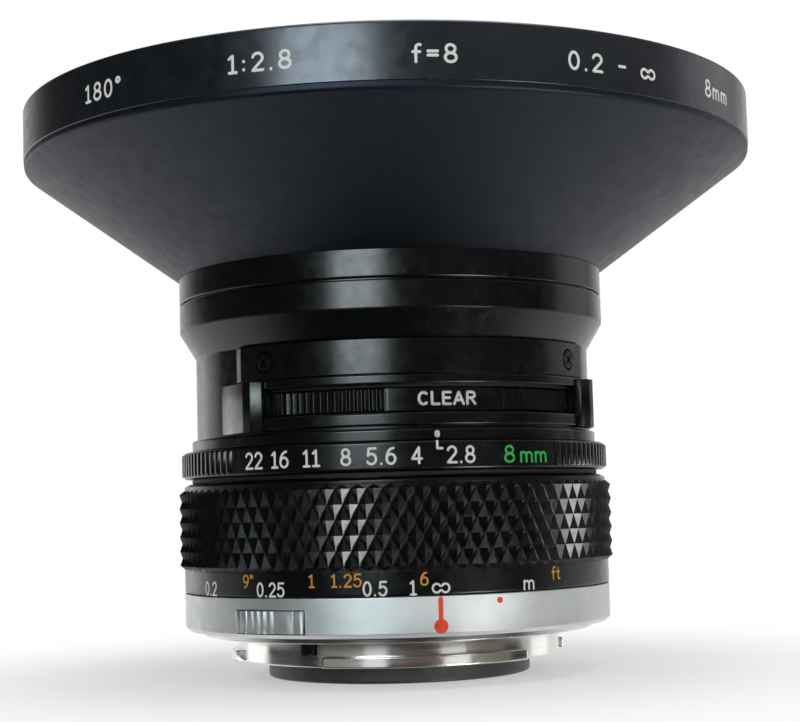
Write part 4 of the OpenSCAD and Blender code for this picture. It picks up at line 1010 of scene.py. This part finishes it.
# %% Bayonet with three tabs
flange_r, collar_0, plate_1 = span("bayonet_plate")
COLLAR_R, COLLAR_IN, RELIEF_R, TAB_R, TAB_THICK, TAB_HALF, TAB_ROOT = 22.3, 20.5, 23.6, 23.3, 1.4, 36, 0.3
CATCH_TURN, CATCH_W, CATCH_LOW, SCREW_RING, SCREW_SEAT = -42.0, 2.4, -1.9, 25.05, 1.25
SCREW_TURNS, TAB_TURNS = (20, 80, 200, 260), (0, 120, 240)
tab_outline = rounded([
    (COLLAR_R - TAB_ROOT, collar_0 + HAIR, 0), (TAB_R, collar_0 + HAIR, 0.15), (TAB_R, collar_0 + TAB_THICK, 0.15),
    (COLLAR_R - TAB_ROOT, collar_0 + TAB_THICK, 0)])
tabs = [spun("tab", tab_outline, chrome, segments=72, arc=(a - TAB_HALF, a + TAB_HALF), end_edge=0.15)
        for a in TAB_TURNS]
seats = [drill((*on_ring(SCREW_RING, a), 0), (0, 0, 1), SCREW_SEAT, 1.0) for a in SCREW_TURNS]
seats.append(slab(CATCH_TURN, COLLAR_IN - 1, SCREW_RING + 1.05, CATCH_W, CATCH_LOW, plate_1 + 0.1))
relief_z = 0.4 * plate_1
bayonet = turned("chromed_bayonet", finely(rounded([
    (COLLAR_IN, collar_0, 0.1), (COLLAR_R, collar_0, 0.15), (COLLAR_R, relief_z, 0), (RELIEF_R, relief_z, 0),
    (RELIEF_R, 0, 0.06), (flange_r, 0, 0.12), (flange_r, plate_1, 0.05), (COLLAR_IN, plate_1, 0)]), WALL_MESH),
    chrome, "mount", ["bayonet_plate"], segments=320, cutters=seats, with_meshes=tabs)
# The square ends of the tabs are left dull, a guess: polished, they would mirror the strips as dark specks.
bayonet.data.materials.append(satin_silver)
for face in bayonet.data.polygons:
    on_tab = face.center.xy.length > COLLAR_R * MM and face.center.z < (collar_0 + TAB_THICK) * MM
    outwards = face.normal.xy.dot(face.center.xy.normalized())
    if on_tab and abs(face.normal.z) < 0.3 and abs(outwards) < 0.5:
        face.material_index = 1
print("mount flange", round(2 * flange_r, 1), "mm across")

# %% Light baffle
BAFFLE_R, BAFFLE_IN, BAFFLE_RIM, RIM_THICK = 18.2, 17.0, 20.45, 1.1
foot_z, seat_top = (corner.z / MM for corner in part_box("rear_baffle"))
brim_z = seat_top - RIM_THICK
# The baffle's finish is black paint made grey by painted table light.
turned("light_baffle", rounded([
    (BAFFLE_IN, foot_z, 0.2), (BAFFLE_R, foot_z, 0.35), (BAFFLE_R, brim_z, 0.1), (BAFFLE_RIM, brim_z, 0.1),
    (BAFFLE_RIM, seat_top, 0), (BAFFLE_IN, seat_top, 0)]), flat_black_painted_light, "mount", ["rear_baffle"])
print("the lens stands on the baffle at", round(foot_z, 2), "mm")

# %% [markdown]
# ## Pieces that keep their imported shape
# The buttons, screws, blades, inner tubes and inner glasses are already right, so their meshes are left
# alone and only dressed. A Weld joins the loose triangles, a small Bevel breaks the edges of what shows,
# and smooth shading does the rest.

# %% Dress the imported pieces
def dress(node, material, bevel_mm=0.0, sharp=35):
    piece = nodes[node]
    piece.data.materials.clear()
    piece.data.materials.append(material)
    piece.data.shade_smooth()
    weld = piece.modifiers.new("weld", "WELD")
    weld.merge_threshold = WELD
    if bevel_mm:
        soft = piece.modifiers.new("broken_edges", "BEVEL")
        soft.width, soft.segments, soft.limit_method = bevel_mm * MM, 2, "ANGLE"
        soft.angle_limit, soft.harden_normals, soft.use_clamp_overlap = math.radians(sharp), True, True
    else:
        split = piece.modifiers.new("crisp_edges", "EDGE_SPLIT")
        split.split_angle = math.radians(sharp)
    return piece


DRESS = {
    ("silver", 0.06): (satin_silver, ["release_button", "preview_button"]),
    ("black_steel", 0.04): (black_steel, ["cover_screws", "mount_screws", "lock_catch"]),
    ("dull_black", 0.0): (black_matt, ["front_carrier", "rear_cell", "iris_base", "iris_lid", "turret_plate",
                                       "turret_lid", "front_cell", "cell_retainers", "rear_retainer",
                                       "filter_retainers"]),
    ("steel", 0.0): (steel, ["fixed_tube", "turret_axle", "iris_cam_ring", "stop_down_lever"]),
    ("brass", 0.0): (brass, ["helicoid_tube", "focus_key", "turret_wheel"]),
    ("black_steel", 0.0): (black_steel, [f"iris_blade_{k}" for k in range(1, 7)]),
    ("lens_glass", 0.0): (inner_glass, [f"glass_{k}" for k in range(2, 12)])}
for (slot, bevel_mm), (material, pieces) in DRESS.items():
    for node in pieces:
        dress(node, material, bevel_mm)
for colour, material in filter_glass.items():
    dress(colour + "_filter", material)
print("dressed in place:", sum(1 for n in nodes.values() if n.modifiers))

# %% [markdown]
# ## Leaf springs
# Behind each button is a leaf spring, a shallow bow: its ends rest on the fixed tube and its middle is
# pushed in by the button. Each spring is copied out as a plain mesh in place of the imported one, and
# the depth of its bow is measured.

# %% Leaf springs as plain meshes
for body in ("release", "preview"):
    node = body + "_spring"
    mesh = plain_copy(dress(node, steel, 0.01), body + "_leaf")
    leaf = bpy.data.objects.new(body + "_leaf", mesh)
    scene.collection.objects.link(leaf)
    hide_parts(node)
    outward = sum((v.co for v in mesh.vertices), Vector())
    outward.z = 0
    outward.normalize()
    reach = [v.co.dot(outward) for v in mesh.vertices]
    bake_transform(leaf)
    print(leaf.name, "bows", round((max(reach) - min(reach)) / MM, 2), "mm")

# %% [markdown]
# ## Figures and marks
# The figures are cut with a round cutter and filled with paint, so each one is a path of constant
# width with round ends. A text object would bring a printed typeface and need bending. Strokes drawn on
# a flat strip come closer to the engraver's work: a tree sweeps them, flattens them to a thin film of
# paint and rolls the strip onto its ring.

# %% The tree that rolls strokes onto a ring
roll, given = new_tree("paint_on_a_ring", {"Strokes": "Geometry", "Ring radius": "Float", "Stroke width": "Float",
                                           "Film": "Float", "Finish": "Material"}, "Marks")
half = add_node(roll, "ShaderNodeMath", {0: given["Stroke width"], 1: 0.5}, operation="MULTIPLY")
paths = add_node(roll, "GeometryNodeMeshToCurve", {"Mesh": given["Strokes"]})
tip = add_node(roll, "GeometryNodeCurvePrimitiveCircle", {"Resolution": 8, "Radius": half.outputs[0]}, mode="RADIUS")
swept = add_node(roll, "GeometryNodeCurveToMesh", {"Curve": paths.outputs[0], "Profile Curve": tip.outputs[0]})
ends = add_node(roll, "GeometryNodeCurveEndpointSelection")
ball = add_node(roll, "GeometryNodeMeshIcoSphere", {"Radius": half.outputs[0], "Subdivisions": 2})
caps = add_node(roll, "GeometryNodeInstanceOnPoints", {"Points": paths.outputs[0], "Selection": ends.outputs[0],
                                                       "Instance": ball.outputs["Mesh"]})
joined = add_node(roll, "GeometryNodeJoinGeometry")
for source in (swept, caps):
    roll.links.new(source.outputs[0], joined.inputs[0])
whole = add_node(roll, "GeometryNodeRealizeInstances", {"Geometry": joined.outputs[0]})
spot = add_node(roll, "GeometryNodeInputPosition")
parts = add_node(roll, "ShaderNodeSeparateXYZ", {0: spot.outputs[0]})
angle = add_node(roll, "ShaderNodeMath", {0: parts.outputs["X"], 1: given["Ring radius"]}, operation="DIVIDE")
thin = add_node(roll, "ShaderNodeMath", {0: given["Film"], 1: half.outputs[0]}, operation="DIVIDE")
radius = add_node(roll, "ShaderNodeMath", {0: parts.outputs["Z"], 1: thin.outputs[0], 2: given["Ring radius"]},
                  operation="MULTIPLY_ADD")
inward = add_node(roll, "ShaderNodeMath", {0: radius.outputs[0], 1: -1.0}, operation="MULTIPLY")
flat = add_node(roll, "ShaderNodeCombineXYZ", {"Y": inward.outputs[0], "Z": parts.outputs["Y"]})
wrapped = add_node(roll, "ShaderNodeVectorRotate", {"Vector": flat.outputs[0], "Angle": angle.outputs[0]},
                   rotation_type="Z_AXIS")
rolled = add_node(roll, "GeometryNodeSetPosition", {"Geometry": whole.outputs[0], "Position": wrapped.outputs[0]})
eased = add_node(roll, "GeometryNodeSetShadeSmooth", {"Geometry": rolled.outputs[0]})
coated = add_node(roll, "GeometryNodeSetMaterial", {"Geometry": eased.outputs[0], "Material": given["Finish"]})
add_node(roll, "NodeGroupOutput", {"Marks": coated.outputs[0]})
print("paint_on_a_ring has", len(roll.nodes), "nodes")

# %% Strokes of the figures
def bow(x, y, rx, ry, start, end, steps=14):
    """Points on an arc, angles in degrees, counted from the right."""
    return [(x + rx * math.cos(math.radians(start + (end - start) * k / steps)),
             y + ry * math.sin(math.radians(start + (end - start) * k / steps))) for k in range(steps + 1)]


SIX = [bow(0.29, 0.31, 0.25, 0.31, 0, 360, 20), [(0.04, 0.33), (0.06, 0.55), (0.15, 0.8), (0.29, 0.95), (0.44, 1.0)]]
M_LOW = [[(0.03, 0), (0.03, 0.6)], [(0.03, 0.42)] + bow(0.2, 0.4, 0.17, 0.2, 160, 0, 8) + [(0.37, 0)],
         [(0.37, 0.42)] + bow(0.54, 0.4, 0.17, 0.2, 160, 0, 8) + [(0.71, 0)]]
# Each sign: its width and its strokes, on a cap height of 1.
SIGNS = {
    "0": (0.58, [bow(0.29, 0.5, 0.25, 0.5, 0, 360, 24)]),
    "1": (0.44, [[(0.06, 0.82), (0.24, 1.0)], [(0.24, 1.0), (0.24, 0)], [(0.06, 0), (0.42, 0)]]),
    "2": (0.58, [bow(0.29, 0.72, 0.24, 0.28, 165, -35, 14) + [(0.04, 0.0)], [(0.04, 0), (0.55, 0)]]),
    "4": (0.60, [[(0.42, 0), (0.42, 1.0)], [(0.42, 1.0), (0.02, 0.28)], [(0.02, 0.28), (0.58, 0.28)]]),
    "5": (0.58, [[(0.52, 1.0), (0.12, 1.0)], [(0.12, 1.0), (0.08, 0.56)],
                 bow(0.27, 0.33, 0.27, 0.33, 128, -150, 16)]),
    "6": (0.58, SIX),
    "8": (0.58, [bow(0.29, 0.76, 0.21, 0.24, 0, 360, 20), bow(0.29, 0.26, 0.26, 0.26, 0, 360, 20)]),
    "9": (0.58, [[(0.58 - x, 1 - y) for x, y in stroke] for stroke in SIX]),
    ".": (0.22, [[(0.10, 0.0), (0.10, 0.02)]]),
    ":": (0.24, [[(0.10, 0.1), (0.10, 0.12)], [(0.10, 0.58), (0.10, 0.6)]]),
    "=": (0.56, [[(0.06, 0.38), (0.5, 0.38)], [(0.06, 0.62), (0.5, 0.62)]]),
    "-": (0.48, [[(0.06, 0.5), (0.42, 0.5)]]),
    '"': (0.30, [[(0.06, 1.0), (0.06, 0.78)], [(0.22, 1.0), (0.22, 0.78)]]),
    "°": (0.34, [bow(0.17, 0.86, 0.13, 0.14, 0, 360, 14)]),
    " ": (0.45, []),
    "'": (0.04, []),
    "∞": (1.0, [bow(0.26, 0.32, 0.22, 0.27, 30, 330, 16) + bow(0.74, 0.32, 0.22, 0.27, 210, 510, 16)
                + [(0.45, 0.455)]]),
    "m": (0.78, M_LOW),
    "f": (0.40, [[(0.16, 0)] + bow(0.32, 0.8, 0.16, 0.2, 180, 70, 6), [(0.03, 0.58), (0.34, 0.58)]]),
    "t": (0.38, [[(0.15, 0.9)] + bow(0.29, 0.14, 0.14, 0.14, 180, 290, 6), [(0.02, 0.6), (0.32, 0.6)]]),
    "C": (0.62, [bow(0.32, 0.5, 0.28, 0.5, 50, 310, 18)]),
    "L": (0.54, [[(0.06, 1.0), (0.06, 0)], [(0.06, 0), (0.5, 0)]]),
    "E": (0.56, [[(0.06, 1.0), (0.06, 0)], [(0.06, 0), (0.52, 0)], [(0.06, 0.52), (0.45, 0.52)],
                 [(0.06, 1.0), (0.52, 1.0)]]),
    "A": (0.66, [[(0.03, 0), (0.33, 1.0)], [(0.33, 1.0), (0.63, 0)], [(0.13, 0.34), (0.53, 0.34)]]),
    "R": (0.62, [[(0.06, 0), (0.06, 1.0)],
                 [(0.06, 1.0), (0.3, 1.0)] + bow(0.32, 0.76, 0.23, 0.24, 90, -90, 10) + [(0.06, 0.52)],
                 [(0.3, 0.52), (0.57, 0)]]),
    "Y": (0.62, [[(0.03, 1.0), (0.31, 0.5)], [(0.59, 1.0), (0.31, 0.5)], [(0.31, 0.5), (0.31, 0)]]),
    "O": (0.66, [bow(0.33, 0.5, 0.28, 0.5, 0, 360, 24)]),
    "W": (0.86, [[(0.03, 1.0), (0.23, 0)], [(0.23, 0), (0.43, 0.9)], [(0.43, 0.9), (0.63, 0)],
                 [(0.63, 0), (0.83, 1.0)]]),
    "N": (0.64, [[(0.06, 0), (0.06, 1.0)], [(0.06, 1.0), (0.56, 0)], [(0.56, 0), (0.56, 1.0)]]),
    "G": (0.66, [bow(0.33, 0.5, 0.28, 0.5, 50, 360, 20) + [(0.42, 0.5)]]),
    "D": (0.64, [[(0.06, 0), (0.06, 1.0)],
                 [(0.06, 1.0), (0.24, 1.0)] + bow(0.26, 0.5, 0.32, 0.5, 90, -90, 14) + [(0.06, 0)]])}
print("signs drawn:", len(SIGNS))

# %% Words and marks
def word(text, degrees, base, height, ring_r, width=1.0, gap=0.16):
    """Strokes of a word centred at an angle from the index, with its foot at a height; mm on the strip."""
    long = (sum(SIGNS[c][0] for c in text) + gap * (len(text) - 1)) * height * width
    x = math.radians(degrees) * ring_r - long / 2
    strokes = []
    for sign in text:
        wide, paths = SIGNS[sign]
        strokes += [[(x + px * height * width, base + py * height) for px, py in path] for path in paths]
        x += (wide + gap) * height * width
    return strokes


def words(texts, **layout):
    """Strokes of several words, each given with its angle, in one layout."""
    return [stroke for text, degrees in texts for stroke in word(text, degrees, **layout)]


def marks(name, strokes, ring_r, stroke_mm, colour, body, film=0.03):
    """Paint strokes on a ring as one piece."""
    verts, edges = [], []
    for path in strokes:
        edges += [(len(verts) + i, len(verts) + i + 1) for i in range(len(path) - 1)]
        verts += [(x * MM, y * MM, 0) for x, y in path]
    mesh = bpy.data.meshes.new(name + "_strokes")
    mesh.from_pydata(verts, edges, [])
    inputs = {"Ring radius": ring_r * MM, "Stroke width": stroke_mm * MM, "Film": film * MM, "Finish": paints[colour]}
    piece = fitted(name, grown(name, mesh, roll, inputs), body)
    print(name, "has", len(piece.data.polygons), "faces")


print("a word of five letters has", len(word("CLEAR", 0, 0, 1, 1)), "strokes")

# %% [markdown]
# ## Painting them on
# The aperture figures, the distance scale and the index marks sit where they do on the real lens. The
# rim carries plain data about the optics, and the filter ring names each filter by its colour. All marks
# of one colour on one ring are one piece, so that they turn with that ring.

# %% Figures of the aperture ring and the distance scale
aperture = [("22", -48.1), ("16", -40.0), ("11", -31.3), ("8", -22.4), ("5.6", -13.7), ("4", -5.05), ("2.8", 5.95)]
TICK_TOP, TICK_LONG, TICK_TURN = 0.1, 1.0, 1.2
tick_z, tick_x = ap_1 - TICK_LONG, math.radians(TICK_TURN) * band_r
strokes = words(aperture, base=ap_0 + 0.85, height=1.95, ring_r=band_r, width=1.1)
strokes += [[(0, ap_1 - TICK_TOP), (0, tick_z)], [(0, tick_z), (tick_x, tick_z)]]
marks("aperture_figures", strokes, band_r, 0.33, "white", "aperture")
strokes = word("8'mm", 24.4, base=ap_0 + 0.8, height=2.0, ring_r=band_r, width=1.3)
marks("focal_figure", strokes, band_r, 0.32, "green", "aperture")

metres = [("0.2", -66.2), ("0.25", -43.5), ("0.5", -16.0), ("1", -6.9)]
strokes = words(metres, base=focus_0 + 0.15, height=1.65, ring_r=focus_r, width=1.06)
strokes += word("∞", -0.1, base=focus_0 + 0.2, height=2.0, ring_r=focus_r, width=1.15)
strokes += word("m", 23.7, base=focus_0 + 0.2, height=1.75, ring_r=focus_r, width=1.25)
marks("metre_figures", strokes, focus_r, 0.28, "white", "focusing")
feet = [('9"', -50.6), ("1", -31.8), ("1.25", -23.0), ("6", -4.1), ("ft", 32.9)]
strokes = words(feet, base=grip_0 - 1.85, height=1.5, ring_r=focus_r, width=1.12)
marks("feet_figures", strokes, focus_r, 0.25, "amber", "focusing")

# %% Index marks, filter names and rim data
DOT_TURN, LINE_TURN, INFRARED_TURN, SPECK = 0.6, -0.3, 15.0, 0.02
dot_x, line_x, far_red_x = (math.radians(a) * r for a, r in (
    (DOT_TURN, ind_r), (LINE_TURN, barrel_r), (INFRARED_TURN, barrel_r)))
marks("index_dot", [[(dot_x, ind_0 + 0.6), (dot_x, ind_0 + 0.85)]], ind_r, 0.72, "white", "front", 0.04)
marks("index_line", [[(line_x, barrel_1 - 0.35), (line_x, 2.2)]], barrel_r, 0.6, "red", "mount")
marks("index_spot", [[(line_x, 2.1), (line_x, 2.1 + SPECK)]], barrel_r, 1.85, "red", "mount")
marks("infrared_spot", [[(far_red_x, 5.0), (far_red_x, 5.0 + SPECK)]], barrel_r, 0.8, "red", "mount")

# Each name and how wide its letters are; the long ones are narrower, to stay on their pads.
names = (("CLEAR", 1.4), ("YELLOW", 1.05), ("ORANGE", 1.05), ("RED", 1.4))
strokes = [stroke for (text, wide_by), (middle, half) in zip(names, PADS)
           for stroke in word(text, middle, base=sel_0 + 0.85, height=1.5, ring_r=sel_r, width=wide_by)]
marks("filter_names", strokes, sel_r, 0.38, "white", "selector")
rim_data = [("180°", -53), ("1:2.8", -27), ("f=8", -4), ("0.2 - ∞", 22), ("8mm", 45.5)]
strokes = words(rim_data, base=rim_low + 2.9, height=2.0, ring_r=face_r, width=1.25, gap=0.26)
marks("rim_data", strokes, face_r, 0.36, "white", "front", PAINT * 0.9)
